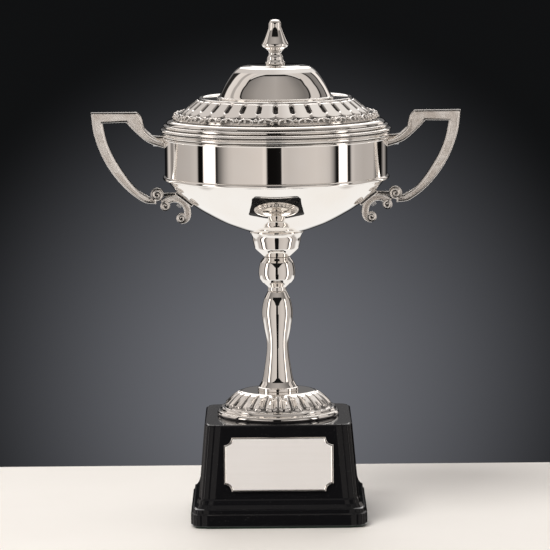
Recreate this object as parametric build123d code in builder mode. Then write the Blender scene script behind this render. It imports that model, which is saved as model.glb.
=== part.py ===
from build123d import *
import os

# Cup trophy: a lidded presentation cup with two scroll handles, on a moulded plinth.
# Millimetres, +Z up, origin at the centre of the underside, handles along X, nameplate facing -Y.
# One tie rod clamps plinth, foot, stem and bowl together. The lid lifts off as one assembly.

os.makedirs("parts", exist_ok=True)

# ---------------------------------------------------------------- driving dimensions
PLINTH_TOP = 59.5               # height of the plinth's flat top
PLINTH_TOP_HALF = 43.1          # half width of the plinth at its upper edge
PLINTH_BASE_HALF = 51.3         # half width of the band that runs round its base
PLINTH_SLOPE = 0.086            # how much the half width grows per millimetre down the panels
PLINTH_WALL = 3.2               # moulding thickness
CORNER_WIDTH = 9.4              # width of the stepped corner, seen from the front
CORNER_FACET = 2.8              # width of its first, slanting facet
CORNER_SET_BACK = 1.2           # how far the facet goes back
CORNER_FLAT = 1.0               # narrow flat beside the rounded arris
FELT_THICKNESS = 1.2
FELT_HALF = 50.0

FOOT_TOP = 74.0
FOOT_RADIUS = 36.0
FOOT_WALL = 1.6
FOOT_LOBES = 24                 # gadroons round the foot
COLUMN_TOP = 133.0
KNOP_TOP = 153.2
BOWL_BOTTOM = 168.3             # underside of the bowl's flat centre
BOWL_RADIUS = 65.2              # outside of the straight wall
RIM_HEIGHT = 226.6              # where the lid sits
SHEET = 1.2                     # spun metal thickness of bowl and lid
HANDLE_DEPTH = 6.0              # thickness of the handle castings, front to back
HANDLE_SPAN = 108.4             # outermost reach of a handle from the axis

LID_LOBES = 32                  # gadroons round the lid
LID_SHOULDER = 246.3            # height of the flat ring round the dome
DOME_TOP = 266.1
DOME_BASE_RADIUS = 34.2
FINIAL_TOP = 292.5

ROD_RADIUS = 3.0                # M6 tie rod
ROD_CLEARANCE = 3.3             # holes that it passes through
ROD_BOTTOM = 18.0
ROD_TOP = 176.0
SCREW_RADIUS = 1.5              # M3 screws that hold the handles
FINIAL_SCREW_RADIUS = 2.0       # M4 screw that holds the finial
GROOVE_OVERRUN = 2.0            # how far a groove runs past both ends of its slope


# ---------------------------------------------------------------- helpers
def plinth_half(height):
    """Half width of the plinth's sloping panels at a height."""
    return PLINTH_TOP_HALF + PLINTH_SLOPE * (PLINTH_TOP - PLINTH_WALL / 2 - height)


def plinth_outline(half):
    """Stepped-corner square: draws one quarter in the open BuildLine and mirrors it twice."""
    low = half - CORNER_WIDTH
    mid = low + CORNER_FACET
    back = half - CORNER_SET_BACK
    centre = mid + CORNER_FLAT
    Polyline((0, half), (low, half), (mid, back), (centre, back))
    CenterArc((centre, centre), back - centre, 0, 90)
    Polyline((back, centre), (back, mid), (half, low), (half, 0))
    mirror(about=Plane.YZ)
    mirror(about=Plane.XZ)


def groove_blank(top, bottom, width, depth):
    """V-shaped bar for cutting one groove: it lies on a slope in the XZ plane, from top to bottom."""
    run = Vector(*bottom) - Vector(*top)
    start = Plane(origin=(top[0], 0, top[1]), x_dir=(0, 1, 0), z_dir=(run.X, 0, run.Y))
    with BuildPart() as bar:
        with BuildSketch(start.offset(-GROOVE_OVERRUN)):
            Polygon((-width / 2, 0.1), (width / 2, 0.1), (0, -depth), align=None)
        extrude(amount=run.length + 2 * GROOVE_OVERRUN)
    return bar.part


def save(piece, name):
    """Label a finished piece and write it to its own STEP file."""
    piece.label = name
    export_step(piece, f"parts/{name}.step")


# ---------------------------------------------------------------- plinth
# (height, half width) of each level of the moulding, from the floor band up to the rounded top edge.
PLINTH_LEVELS = [
    (FELT_THICKNESS, PLINTH_BASE_HALF - 0.4),
    (FELT_THICKNESS + 0.5, PLINTH_BASE_HALF),
    (7.9, PLINTH_BASE_HALF),
    (8.5, PLINTH_BASE_HALF - 0.9),
    (10.4, PLINTH_BASE_HALF - 1.0),
    (11.4, PLINTH_BASE_HALF - 1.9),
    (13.4, 47.9),
    (15.8, 47.2),
    (16.8, plinth_half(16.8)),
    (PLINTH_TOP - 1.2, plinth_half(PLINTH_TOP - 1.2)),
    (PLINTH_TOP - 0.4, PLINTH_TOP_HALF - 0.4),
    (PLINTH_TOP, PLINTH_TOP_HALF - 1.2),
]
# (height, half width) of the hollow underneath.
CAVITY_LEVELS = [
    (FELT_THICKNESS, PLINTH_BASE_HALF - 1.2 * PLINTH_WALL),
    (8.0, PLINTH_BASE_HALF - 1.5 * PLINTH_WALL),
    (14.0, plinth_half(14.0) - PLINTH_WALL),
    (PLINTH_TOP - PLINTH_WALL, PLINTH_TOP_HALF - PLINTH_WALL),
]
BOSS_RADIUS = 9.0
BOSS_BOTTOM = 44.0

with BuildPart() as plinth_shell:
    for level, half in PLINTH_LEVELS:
        with BuildSketch(Plane.XY.offset(level)):
            with BuildLine():
                plinth_outline(half)
            make_face()
    loft(ruled=True)
    for level, half in CAVITY_LEVELS:
        with BuildSketch(Plane.XY.offset(level)):
            RectangleRounded(2 * half, 2 * half, radius=CORNER_WIDTH)
    loft(ruled=True, mode=Mode.SUBTRACT)
    with BuildSketch(Plane.XY.offset(BOSS_BOTTOM)):
        Circle(BOSS_RADIUS)
    extrude(amount=PLINTH_TOP - BOSS_BOTTOM - 1)
    with BuildSketch(Plane.XY.offset(BOSS_BOTTOM)):
        Circle(ROD_CLEARANCE)
    extrude(amount=PLINTH_TOP - BOSS_BOTTOM, mode=Mode.SUBTRACT)
save(plinth_shell.part, "plinth_shell")

with BuildPart() as felt_pad:
    with BuildSketch():
        with BuildLine():
            plinth_outline(FELT_HALF)
        make_face()
    extrude(amount=FELT_THICKNESS)
save(felt_pad.part, "felt_pad")

# Ballast block, washer, spring washer and nut hang under the boss, in that order.
BALLAST_HALF = 30.0
BALLAST_THICKNESS = 14.0
BALLAST_BOTTOM = BOSS_BOTTOM - BALLAST_THICKNESS
WASHER_THICKNESS = 1.6
WASHER_RADIUS = 12.0
WASHER_BOTTOM = BALLAST_BOTTOM - WASHER_THICKNESS
SPRING_RADIUS = 5.9
SPRING_BOTTOM = WASHER_BOTTOM - WASHER_THICKNESS
SPRING_GAP = 1.5
NUT_ACROSS_FLATS = 10.0
NUT_HEIGHT = 5.0

with BuildPart() as plinth_weight:
    with BuildSketch(Plane.XY.offset(BALLAST_BOTTOM)):
        RectangleRounded(2 * BALLAST_HALF, 2 * BALLAST_HALF, radius=6)
        Circle(ROD_CLEARANCE, mode=Mode.SUBTRACT)
    extrude(amount=BALLAST_THICKNESS)
    chamfer(plinth_weight.edges().filter_by(Plane.XY).filter_by(GeomType.LINE), length=1)
save(plinth_weight.part, "plinth_weight")

with BuildPart() as plinth_washer:
    with BuildSketch(Plane.XY.offset(WASHER_BOTTOM)):
        Circle(WASHER_RADIUS)
        Circle(ROD_CLEARANCE, mode=Mode.SUBTRACT)
    extrude(amount=WASHER_THICKNESS)
save(plinth_washer.part, "plinth_washer")

with BuildPart() as plinth_spring_washer:
    with BuildSketch(Plane.XY.offset(SPRING_BOTTOM)):
        Circle(SPRING_RADIUS)
        Circle(ROD_CLEARANCE, mode=Mode.SUBTRACT)
        with Locations((SPRING_RADIUS, 0)):
            Rectangle(2 * SPRING_RADIUS, SPRING_GAP, rotation=20, mode=Mode.SUBTRACT)
    extrude(amount=WASHER_THICKNESS)
save(plinth_spring_washer.part, "plinth_spring_washer")

with BuildPart() as plinth_nut:
    with BuildSketch(Plane.XY.offset(SPRING_BOTTOM - NUT_HEIGHT)):
        RegularPolygon(NUT_ACROSS_FLATS / 2, 6, major_radius=False)
        Circle(ROD_RADIUS, mode=Mode.SUBTRACT)
    extrude(amount=NUT_HEIGHT)
save(plinth_nut.part, "plinth_nut")

# ---------------------------------------------------------------- nameplate, on the front panel
PLATE_WIDTH = 63.5
PLATE_HEIGHT = 31.5
PLATE_SCOOP = 4.4               # radius of the hollow corners
PLATE_CENTRE = 36.7
PLATE_THICKNESS = 0.6
PLATE_BORDER = 1.3
PLATE_BORDER_RISE = 0.35
ADHESIVE_THICKNESS = 0.25
panel = Plane(origin=(0, -plinth_half(PLATE_CENTRE), PLATE_CENTRE), x_dir=(1, 0, 0),
              z_dir=(0, -1, PLINTH_SLOPE))
plate_corners = [(i * PLATE_WIDTH / 2, j * PLATE_HEIGHT / 2) for i in (-1, 1) for j in (-1, 1)]

with BuildPart() as nameplate_adhesive:
    with BuildSketch(panel):
        Rectangle(PLATE_WIDTH - 4 * PLATE_SCOOP, PLATE_HEIGHT - PLATE_SCOOP)
    extrude(amount=ADHESIVE_THICKNESS)
save(nameplate_adhesive.part, "nameplate_adhesive")

with BuildPart() as nameplate:
    with BuildSketch(panel.offset(ADHESIVE_THICKNESS)) as blank:
        Rectangle(PLATE_WIDTH, PLATE_HEIGHT)
        with Locations(*plate_corners):
            Circle(PLATE_SCOOP, mode=Mode.SUBTRACT)
    extrude(amount=PLATE_THICKNESS)
    with BuildSketch(panel.offset(ADHESIVE_THICKNESS + PLATE_THICKNESS)):
        Rectangle(PLATE_WIDTH, PLATE_HEIGHT)
        Rectangle(PLATE_WIDTH - 2 * PLATE_BORDER, PLATE_HEIGHT - 2 * PLATE_BORDER, mode=Mode.SUBTRACT)
        with Locations(*plate_corners):
            Circle(PLATE_SCOOP + PLATE_BORDER)
        Rectangle(PLATE_WIDTH, PLATE_HEIGHT, mode=Mode.INTERSECT)
        with Locations(*plate_corners):
            Circle(PLATE_SCOOP, mode=Mode.SUBTRACT)
    extrude(amount=PLATE_BORDER_RISE)
save(nameplate.part, "nameplate")

# ---------------------------------------------------------------- foot
FOOT_PLATE_RADIUS = 21.3        # flat disc at the top of the foot
FOOT_SLOPE_RADIUS = 32.6        # where the gadrooned slope ends
FOOT_SLOPE_BOTTOM = 65.0
foot_groove = groove_blank((22.6, 73.6), (31.0, 67.0), 1.6, 0.7)

with BuildPart() as foot:
    with BuildSketch(Plane.XZ):
        with BuildLine():
            Polyline((ROD_CLEARANCE, FOOT_TOP), (FOOT_PLATE_RADIUS, FOOT_TOP))
            Spline((FOOT_PLATE_RADIUS, FOOT_TOP), (28.0, 69.6), (FOOT_SLOPE_RADIUS, FOOT_SLOPE_BOTTOM))
            Polyline((FOOT_SLOPE_RADIUS, FOOT_SLOPE_BOTTOM), (33.4, FOOT_SLOPE_BOTTOM - 0.4),
                     (33.4, 63.6), (34.2, 63.2), (34.2, PLINTH_TOP + 3.0),
                     (34.2 - FOOT_WALL, PLINTH_TOP + 3.0))
            Polyline((34.2 - FOOT_WALL, PLINTH_TOP + 3.0), (30.6, 65.0))
            Spline((30.6, 65.0), (26.9, 68.0), (20.8, FOOT_TOP - FOOT_WALL))
            Polyline((20.8, FOOT_TOP - FOOT_WALL), (ROD_CLEARANCE, FOOT_TOP - FOOT_WALL),
                     (ROD_CLEARANCE, FOOT_TOP))
        make_face()
    revolve(axis=Axis.Z)
    with PolarLocations(0, FOOT_LOBES):
        add(foot_groove, mode=Mode.SUBTRACT)
save(foot.part, "foot")

# Heavy base ring under the foot: it stands on the plinth and carries the raised reeds.
with BuildPart() as foot_ring:
    with BuildSketch(Plane.XZ):
        with BuildLine():
            Polyline((30.0, PLINTH_TOP), (FOOT_RADIUS - 0.5, PLINTH_TOP))
            ThreePointArc((FOOT_RADIUS - 0.5, PLINTH_TOP), (FOOT_RADIUS, PLINTH_TOP + 1.4),
                          (FOOT_RADIUS - 0.6, PLINTH_TOP + 2.7))
            Polyline((FOOT_RADIUS - 0.6, PLINTH_TOP + 2.7), (FOOT_RADIUS - 1.0, PLINTH_TOP + 3.0),
                     (30.0, PLINTH_TOP + 3.0), (30.0, PLINTH_TOP))
        make_face()
    revolve(axis=Axis.Z)
save(foot_ring.part, "foot_ring")

# ---------------------------------------------------------------- stem
COLUMN_OUTLINE = [(10.8, 77.0), (9.2, 80.0), (8.0, 86.0), (6.4, 98.0), (6.6, 104.0), (8.2, 112.5),
                  (9.1, 120.0), (7.9, 127.4), (5.6, COLUMN_TOP)]
COLUMN_FLANGE = 12.0

with BuildPart() as stem_column:
    with BuildSketch(Plane.XZ):
        with BuildLine():
            Spline(*COLUMN_OUTLINE)
            Polyline(COLUMN_OUTLINE[-1], (ROD_CLEARANCE, COLUMN_TOP), (ROD_CLEARANCE, FOOT_TOP),
                     (COLUMN_FLANGE, FOOT_TOP), (COLUMN_FLANGE, FOOT_TOP + 2.0), COLUMN_OUTLINE[0])
        make_face()
    revolve(axis=Axis.Z)
save(stem_column.part, "stem_column")

with BuildPart() as stem_knop:
    with BuildSketch(Plane.XZ):
        with BuildLine():
            Polyline((5.6, COLUMN_TOP), (5.4, 135.4), (8.4, 137.9), (10.2, 140.2))
            Spline((10.2, 140.2), (10.8, 144.0), (9.8, 149.7), (7.8, KNOP_TOP))
            Polyline((7.8, KNOP_TOP), (ROD_CLEARANCE, KNOP_TOP), (ROD_CLEARANCE, COLUMN_TOP),
                     (5.6, COLUMN_TOP))
        make_face()
    revolve(axis=Axis.Z)
save(stem_knop.part, "stem_knop")

COLLAR_OUTLINE = [(13.1, 158.6), (14.0, 162.7), (14.4, 165.6), (16.0, 167.7)]
with BuildPart() as stem_collar:
    with BuildSketch(Plane.XZ):
        with BuildLine():
            Spline(*COLLAR_OUTLINE)
            Polyline(COLLAR_OUTLINE[-1], (16.0, BOWL_BOTTOM), (ROD_CLEARANCE, BOWL_BOTTOM),
                     (ROD_CLEARANCE, KNOP_TOP), (7.8, KNOP_TOP), (12.4, 157.4), COLLAR_OUTLINE[0])
        make_face()
    revolve(axis=Axis.Z)
save(stem_collar.part, "stem_collar")

with BuildPart() as tie_rod:
    with BuildSketch(Plane.XY.offset(ROD_BOTTOM)):
        Circle(ROD_RADIUS)
    extrude(amount=ROD_TOP - ROD_BOTTOM)
    chamfer(tie_rod.edges(), length=0.6)
save(tie_rod.part, "tie_rod")

# ---------------------------------------------------------------- bowl
BOWL_CURVE = [(16.0, BOWL_BOTTOM), (24.7, 171.0), (36.4, 175.7), (47.6, 183.4), (58.7, 191.9),
              (63.6, 197.0), (BOWL_RADIUS, 201.6)]
BOWL_INNER_CURVE = [(16.0, BOWL_BOTTOM + SHEET), (24.2, 172.1), (35.7, 176.8), (46.8, 184.3),
                    (57.8, 192.8), (62.5, 197.6), (BOWL_RADIUS - SHEET, 201.9)]

with BuildPart() as bowl_shell:
    with BuildSketch(Plane.XZ):
        with BuildLine():
            Spline(*BOWL_CURVE, tangents=[(1, 0.12), (0.15, 1)])
            Polyline(BOWL_CURVE[-1], (BOWL_RADIUS, RIM_HEIGHT), (BOWL_RADIUS - SHEET, RIM_HEIGHT),
                     BOWL_INNER_CURVE[-1])
            Spline(*BOWL_INNER_CURVE, tangents=[(1, 0.12), (0.15, 1)])
            Polyline(BOWL_INNER_CURVE[0], (ROD_CLEARANCE, BOWL_BOTTOM + SHEET),
                     (ROD_CLEARANCE, BOWL_BOTTOM), BOWL_CURVE[0])
        make_face()
    revolve(axis=Axis.Z)

# The space that bowl, bead and rim ring take up, used to fit the handles against them.
RIM_RING_BOTTOM = 222.7
RIM_RING_RADIUS = 66.8
BEAD_CENTRE = 200.3
BEAD_RADIUS = 1.3
with BuildPart() as bowl_envelope:
    with BuildSketch(Plane.XZ):
        with BuildLine():
            Spline(*BOWL_CURVE, tangents=[(1, 0.12), (0.15, 1)])
            Polyline(BOWL_CURVE[-1], (BOWL_RADIUS, RIM_RING_BOTTOM), (RIM_RING_RADIUS, RIM_RING_BOTTOM),
                     (RIM_RING_RADIUS, RIM_HEIGHT), (0, RIM_HEIGHT), (0, BOWL_BOTTOM), BOWL_CURVE[0])
        make_face()
    revolve(axis=Axis.Z)

with BuildPart() as bowl_bead:
    with BuildSketch(Plane.XZ):
        with Locations((BOWL_RADIUS, BEAD_CENTRE)):
            Circle(BEAD_RADIUS)
    revolve(axis=Axis.Z)
    add(bowl_envelope.part, mode=Mode.SUBTRACT)
save(bowl_bead.part, "bowl_bead")

with BuildPart() as rim_ring:
    with BuildSketch(Plane.XZ):
        with BuildLine():
            Polyline((BOWL_RADIUS, RIM_RING_BOTTOM), (RIM_RING_RADIUS - 0.4, RIM_RING_BOTTOM),
                     (RIM_RING_RADIUS - 0.4, 223.6), (RIM_RING_RADIUS, 224.0),
                     (RIM_RING_RADIUS, 226.2), (RIM_RING_RADIUS - 0.4, RIM_HEIGHT),
                     (BOWL_RADIUS, RIM_HEIGHT), (BOWL_RADIUS, RIM_RING_BOTTOM))
        make_face()
    revolve(axis=Axis.Z)
save(rim_ring.part, "rim_ring")

# Sealing washer, washer and domed nut on the end of the tie rod, inside the bowl.
GASKET_THICKNESS = 0.8
GASKET_RADIUS = 9.0
BOWL_WASHER_THICKNESS = 1.2
BOWL_WASHER_RADIUS = 8.4
CAP_HEIGHT = 3.4
CAP_RADIUS = 4.6
gasket_bottom = BOWL_BOTTOM + SHEET
washer_bottom = gasket_bottom + GASKET_THICKNESS
cap_bottom = washer_bottom + BOWL_WASHER_THICKNESS
dome_bottom = cap_bottom + CAP_HEIGHT

with BuildPart() as bowl_gasket:
    with BuildSketch(Plane.XY.offset(gasket_bottom)):
        Circle(GASKET_RADIUS)
        Circle(ROD_CLEARANCE, mode=Mode.SUBTRACT)
    extrude(amount=GASKET_THICKNESS)
save(bowl_gasket.part, "bowl_gasket")

with BuildPart() as bowl_washer:
    with BuildSketch(Plane.XY.offset(washer_bottom)):
        Circle(BOWL_WASHER_RADIUS)
        Circle(ROD_CLEARANCE, mode=Mode.SUBTRACT)
    extrude(amount=BOWL_WASHER_THICKNESS)
save(bowl_washer.part, "bowl_washer")

with BuildPart() as bowl_nut:
    with BuildSketch(Plane.XY.offset(cap_bottom)):
        RegularPolygon(NUT_ACROSS_FLATS / 2, 6, major_radius=False)
    extrude(amount=CAP_HEIGHT)
    with BuildSketch(Plane.XZ):
        with BuildLine():
            Line((0, dome_bottom), (CAP_RADIUS, dome_bottom))
            CenterArc((0, dome_bottom), CAP_RADIUS, 0, 90)
            Line((0, dome_bottom + CAP_RADIUS), (0, dome_bottom))
        make_face()
    revolve(axis=Axis.Z)
    with BuildSketch(Plane.XY.offset(cap_bottom)):
        Circle(ROD_RADIUS)
    extrude(amount=ROD_TOP - cap_bottom, mode=Mode.SUBTRACT)
save(bowl_nut.part, "bowl_nut")

# ---------------------------------------------------------------- handles
# Each handle is one casting: an arm that rises from the wall to a flat top, sweeps down and in
# to a small scroll, and ends in a C scroll whose back lies on the lower bowl, on a saddle pad.
ARM_TOP = 238.9
ARM_UNDER = 233.0
OUTER_SWEEP = [(HANDLE_SPAN, 239.2), (106.3, 225.5), (100.1, 209.6), (90.3, 196.0), (78.1, 186.2),
               (70.5, 184.8)]
INNER_SWEEP = [(74.6, 189.2), (82.7, 194.5), (93.1, 208.9), (98.8, 221.0), (101.5, ARM_UNDER)]
ARM_UPPER = [(64.0, 224.6), (72.0, 225.2), (76.4, 228.2), (78.6, 236.0), (81.2, ARM_TOP)]
ARM_LOWER = [(87.2, ARM_UNDER), (82.3, 227.4), (74.7, 221.1), (64.0, 217.3)]
SCROLL_CENTRE = (69.9, 190.4)
SCROLL_RADIUS = 3.8
C_SPINE = [(65.4, 185.6), (59.6, 187.7), (54.4, 185.2), (51.6, 180.6), (52.0, 176.6), (54.6, 174.9)]
C_WIDTH = 4.6
C_TIPS = [((65.2, 183.4), 2.6), ((55.8, 176.4), 2.9)]
BRIDGE = [(58.0, 190.4), (58.0, 187.0), (69.0, 187.4), (69.0, 192.0)]
PAD_DEPTH = 16.0
PAD_THICKNESS = 2.0
PAD_TOP = (59.2, 192.2)
PAD_BOTTOM = (48.4, 183.8)

# Screws: one level with the upper arm, one square to the bowl's slope through the pad.
UPPER_SCREW_HEIGHT = 220.2
SCREW_HEAD_RADIUS = 2.4
SCREW_HEAD_HEIGHT = 1.4
SCREW_WASHER_RADIUS = 2.7
SCREW_WASHER_THICKNESS = 0.5
SCREW_REACH = 8.0
pad_run = (Vector(*PAD_TOP) - Vector(*PAD_BOTTOM)).normalized()
pad_out = Vector(pad_run.Y, -pad_run.X)
lower_seat = (Vector(*PAD_TOP) + Vector(*PAD_BOTTOM)) * 0.5 - pad_out * (SHEET + 0.5)


def screw_seats(side):
    """Planes on which a handle's two washers sit inside the bowl, their normals along the screws."""
    wall = BOWL_RADIUS - SHEET
    upper = Plane(origin=(side * (wall - 0.1), 0, UPPER_SCREW_HEIGHT), z_dir=(side, 0, 0))
    lower = Plane(origin=(side * lower_seat.X, 0, lower_seat.Y), z_dir=(side * pad_out.X, 0, pad_out.Y))
    return upper, lower


def pad_corners():
    """The saddle pad in front view, its inner side well inside the bowl, which is cut away later."""
    inner = [Vector(*PAD_BOTTOM) - pad_out * PAD_THICKNESS, Vector(*PAD_TOP) - pad_out * PAD_THICKNESS]
    outer = [Vector(*PAD_TOP) + pad_out * PAD_THICKNESS, Vector(*PAD_BOTTOM) + pad_out * PAD_THICKNESS]
    return [(corner.X, corner.Y) for corner in inner + outer]


with BuildPart() as handle_right:
    with BuildSketch(Plane.XZ):
        with BuildLine():
            Spline(*ARM_UPPER)
            Line(ARM_UPPER[-1], OUTER_SWEEP[0])
            Spline(*OUTER_SWEEP)
            Polyline(OUTER_SWEEP[-1], SCROLL_CENTRE, INNER_SWEEP[0])
            Spline(*INNER_SWEEP)
            Line(INNER_SWEEP[-1], ARM_LOWER[0])
            Spline(*ARM_LOWER)
            Line(ARM_LOWER[-1], ARM_UPPER[0])
        make_face()
        with Locations(SCROLL_CENTRE):
            Circle(SCROLL_RADIUS)
        with BuildLine():
            Spline(*C_SPINE)
        trace(line_width=C_WIDTH)
        for tip, radius in C_TIPS:
            with Locations(tip):
                Circle(radius)
        Polygon(*BRIDGE, align=None)
    extrude(amount=HANDLE_DEPTH / 2, both=True)
    with BuildSketch(Plane.XZ):
        Polygon(*pad_corners(), align=None)
    extrude(amount=PAD_DEPTH / 2, both=True)
    add(bowl_envelope.part, mode=Mode.SUBTRACT)
    for seat in screw_seats(1):
        with BuildSketch(seat):
            Circle(SCREW_RADIUS)
        extrude(amount=SCREW_REACH, mode=Mode.SUBTRACT)
save(handle_right.part, "handle_right")

with BuildPart() as handle_left:
    mirror(handle_right.part, about=Plane.YZ)
save(handle_left.part, "handle_left")

with BuildPart() as handle_screws:
    for side in (-1, 1):
        for seat in screw_seats(side):
            with BuildSketch(seat.offset(-SCREW_WASHER_THICKNESS)):
                Circle(SCREW_HEAD_RADIUS)
            extrude(amount=-SCREW_HEAD_HEIGHT)
            with BuildSketch(seat.offset(-SCREW_WASHER_THICKNESS)):
                Circle(SCREW_RADIUS)
            extrude(amount=SCREW_REACH + SCREW_WASHER_THICKNESS)
            with BuildSketch(seat.offset(-SCREW_WASHER_THICKNESS - SCREW_HEAD_HEIGHT)):
                Rectangle(2.2 * SCREW_HEAD_RADIUS, 0.7)
            extrude(amount=0.6, mode=Mode.SUBTRACT)
save(handle_screws.part, "handle_screws")

with BuildPart() as handle_washers:
    for side in (-1, 1):
        for seat in screw_seats(side):
            with BuildSketch(seat.offset(-SCREW_WASHER_THICKNESS)):
                Circle(SCREW_WASHER_RADIUS)
                Circle(SCREW_RADIUS + 0.1, mode=Mode.SUBTRACT)
            extrude(amount=SCREW_WASHER_THICKNESS)
save(handle_washers.part, "handle_washers")

# The bowl is drilled for the handle screws once their seats are known.
with BuildPart() as bowl_drilled:
    add(bowl_shell.part)
    for side in (-1, 1):
        for seat in screw_seats(side):
            with BuildSketch(seat.offset(-1)):
                Circle(SCREW_RADIUS + 0.1)
            extrude(amount=4, mode=Mode.SUBTRACT)
save(bowl_drilled.part, "bowl_shell")

# ---------------------------------------------------------------- lid
LID_FLANGE_RADIUS = 66.4
LID_RING_RADIUS = 67.7
SLOPE_TOP = (43.2, LID_SHOULDER)
SLOPE_BOTTOM = (55.5, 236.5)
SHELF = (59.9, 235.6)
COVER_HOLE = 28.0

with BuildPart() as lid_cover:
    with BuildSketch(Plane.XZ):
        with BuildLine():
            Polyline((COVER_HOLE, LID_SHOULDER), SLOPE_TOP, SLOPE_BOTTOM, SHELF, (60.4, 233.9),
                     (63.0, 233.7), (63.5, 231.5), (65.6, 231.3), (65.9, 229.0),
                     (LID_FLANGE_RADIUS, 229.0), (LID_FLANGE_RADIUS, RIM_HEIGHT), (60.8, RIM_HEIGHT),
                     (60.8, 227.8), (62.0, 228.6), (61.4, 231.8), (58.9, 232.9), (58.5, 234.5),
                     (54.9, 235.2), (42.7, LID_SHOULDER - SHEET), (COVER_HOLE, LID_SHOULDER - SHEET),
                     (COVER_HOLE, LID_SHOULDER))
        make_face()
    revolve(axis=Axis.Z)
save(lid_cover.part, "lid_cover")

with BuildPart() as lid_outer_ring:
    with BuildSketch(Plane.XZ):
        with BuildLine():
            Polyline((LID_FLANGE_RADIUS, RIM_HEIGHT), (LID_RING_RADIUS - 0.4, RIM_HEIGHT),
                     (LID_RING_RADIUS, RIM_HEIGHT + 0.5), (LID_RING_RADIUS, 228.5),
                     (LID_RING_RADIUS - 0.4, 229.0), (LID_FLANGE_RADIUS, 229.0),
                     (LID_FLANGE_RADIUS, RIM_HEIGHT))
        make_face()
    revolve(axis=Axis.Z)
save(lid_outer_ring.part, "lid_outer_ring")

# Locating ring: a short skirt that drops inside the bowl's wall with room to lift freely.
SKIRT_RADIUS = 63.2
SKIRT_DEPTH = 3.4
SKIRT_WALL = 2.4
with BuildPart() as lid_locating_ring:
    with BuildSketch(Plane.XY.offset(RIM_HEIGHT - SKIRT_DEPTH)):
        Circle(SKIRT_RADIUS)
        Circle(SKIRT_RADIUS - SKIRT_WALL, mode=Mode.SUBTRACT)
    extrude(amount=SKIRT_DEPTH)
save(lid_locating_ring.part, "lid_locating_ring")

# Gadrooned border: a cast ring on the slope, cut into tongues by V grooves.
BORDER_RISE = 1.5
GROOVE_WIDTH = 2.0
slope_run = Vector(*SLOPE_BOTTOM) - Vector(*SLOPE_TOP)
slope_out = Vector(-slope_run.Y, slope_run.X).normalized()
border_top = Vector(*SLOPE_TOP) + slope_out * BORDER_RISE
border_bottom = Vector(*SLOPE_BOTTOM) + slope_out * BORDER_RISE
lid_groove = groove_blank((border_top.X, border_top.Y), (border_bottom.X, border_bottom.Y),
                          GROOVE_WIDTH, BORDER_RISE * 0.8)

with BuildPart() as lid_gadroon_border:
    with BuildSketch(Plane.XZ):
        with BuildLine():
            Polyline(SLOPE_TOP, SLOPE_BOTTOM, (border_bottom.X, border_bottom.Y),
                     (border_top.X, border_top.Y), SLOPE_TOP)
        make_face()
    revolve(axis=Axis.Z)
    with PolarLocations(0, LID_LOBES):
        add(lid_groove, mode=Mode.SUBTRACT)
save(lid_gadroon_border.part, "lid_gadroon_border")

# Beaded wire in the angle between the border and the shelf.
with BuildPart() as lid_bead_border:
    with BuildSketch(Plane.XZ):
        with BuildLine():
            Polyline(SLOPE_BOTTOM, SHELF)
            ThreePointArc(SHELF, (58.8, 237.2), (56.6, 237.9))
            Line((56.6, 237.9), SLOPE_BOTTOM)
        make_face()
    revolve(axis=Axis.Z)
    add(lid_gadroon_border.part, mode=Mode.SUBTRACT)
save(lid_bead_border.part, "lid_bead_border")

DOME_CURVE = [(14.0, DOME_TOP), (20.2, 265.0), (24.2, 262.7), (26.6, 259.2)]
DOME_INNER_CURVE = [(14.0, DOME_TOP - SHEET), (19.8, 263.8), (23.2, 261.8), (25.4, 258.7)]
DOME_FOOT = (32.8, 248.2)
with BuildPart() as lid_dome:
    with BuildSketch(Plane.XZ):
        with BuildLine():
            Spline(*DOME_CURVE, tangents=[(1, 0), (0.5, -0.87)])
            Polyline(DOME_CURVE[-1], DOME_FOOT, (33.0, 247.5), (DOME_BASE_RADIUS, 247.4),
                     (DOME_BASE_RADIUS, LID_SHOULDER), (31.4, LID_SHOULDER), (31.4, 248.4),
                     DOME_INNER_CURVE[-1])
            Spline(*DOME_INNER_CURVE, tangents=[(1, 0), (0.5, -0.87)])
            Polyline(DOME_INNER_CURVE[0], (FINIAL_SCREW_RADIUS + 0.2, DOME_TOP - SHEET),
                     (FINIAL_SCREW_RADIUS + 0.2, DOME_TOP), DOME_CURVE[0])
        make_face()
    revolve(axis=Axis.Z)
save(lid_dome.part, "lid_dome")

# ---------------------------------------------------------------- finial
FINIAL_SCREW_REACH = 8.0
with BuildPart() as finial:
    with BuildSketch(Plane.XZ):
        with BuildLine():
            Polyline((0, DOME_TOP), (4.8, DOME_TOP), (4.9, 267.0), (6.1, 267.6), (6.1, 268.8))
            Spline((6.1, 268.8), (4.6, 270.9), (3.2, 273.2), (5.4, 275.6))
            Polyline((5.4, 275.6), (7.1, 277.3), (8.0, 278.5), (7.6, 279.8))
            Spline((7.6, 279.8), (5.4, 283.2), (3.9, 286.4), (3.4, 289.0), (2.6, 291.3), (0, FINIAL_TOP),
                   tangents=[(-0.5, 0.6), (-1, 0)])
            Line((0, FINIAL_TOP), (0, DOME_TOP))
        make_face()
    revolve(axis=Axis.Z)
    with BuildSketch(Plane.XY.offset(DOME_TOP)):
        Circle(FINIAL_SCREW_RADIUS)
    extrude(amount=FINIAL_SCREW_REACH - SHEET, mode=Mode.SUBTRACT)
save(finial.part, "finial")

FINIAL_WASHER_THICKNESS = 0.8
finial_seat = DOME_TOP - SHEET - FINIAL_WASHER_THICKNESS
with BuildPart() as finial_washer:
    with BuildSketch(Plane.XY.offset(finial_seat)):
        Circle(4.5)
        Circle(FINIAL_SCREW_RADIUS + 0.2, mode=Mode.SUBTRACT)
    extrude(amount=FINIAL_WASHER_THICKNESS)
save(finial_washer.part, "finial_washer")

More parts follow.
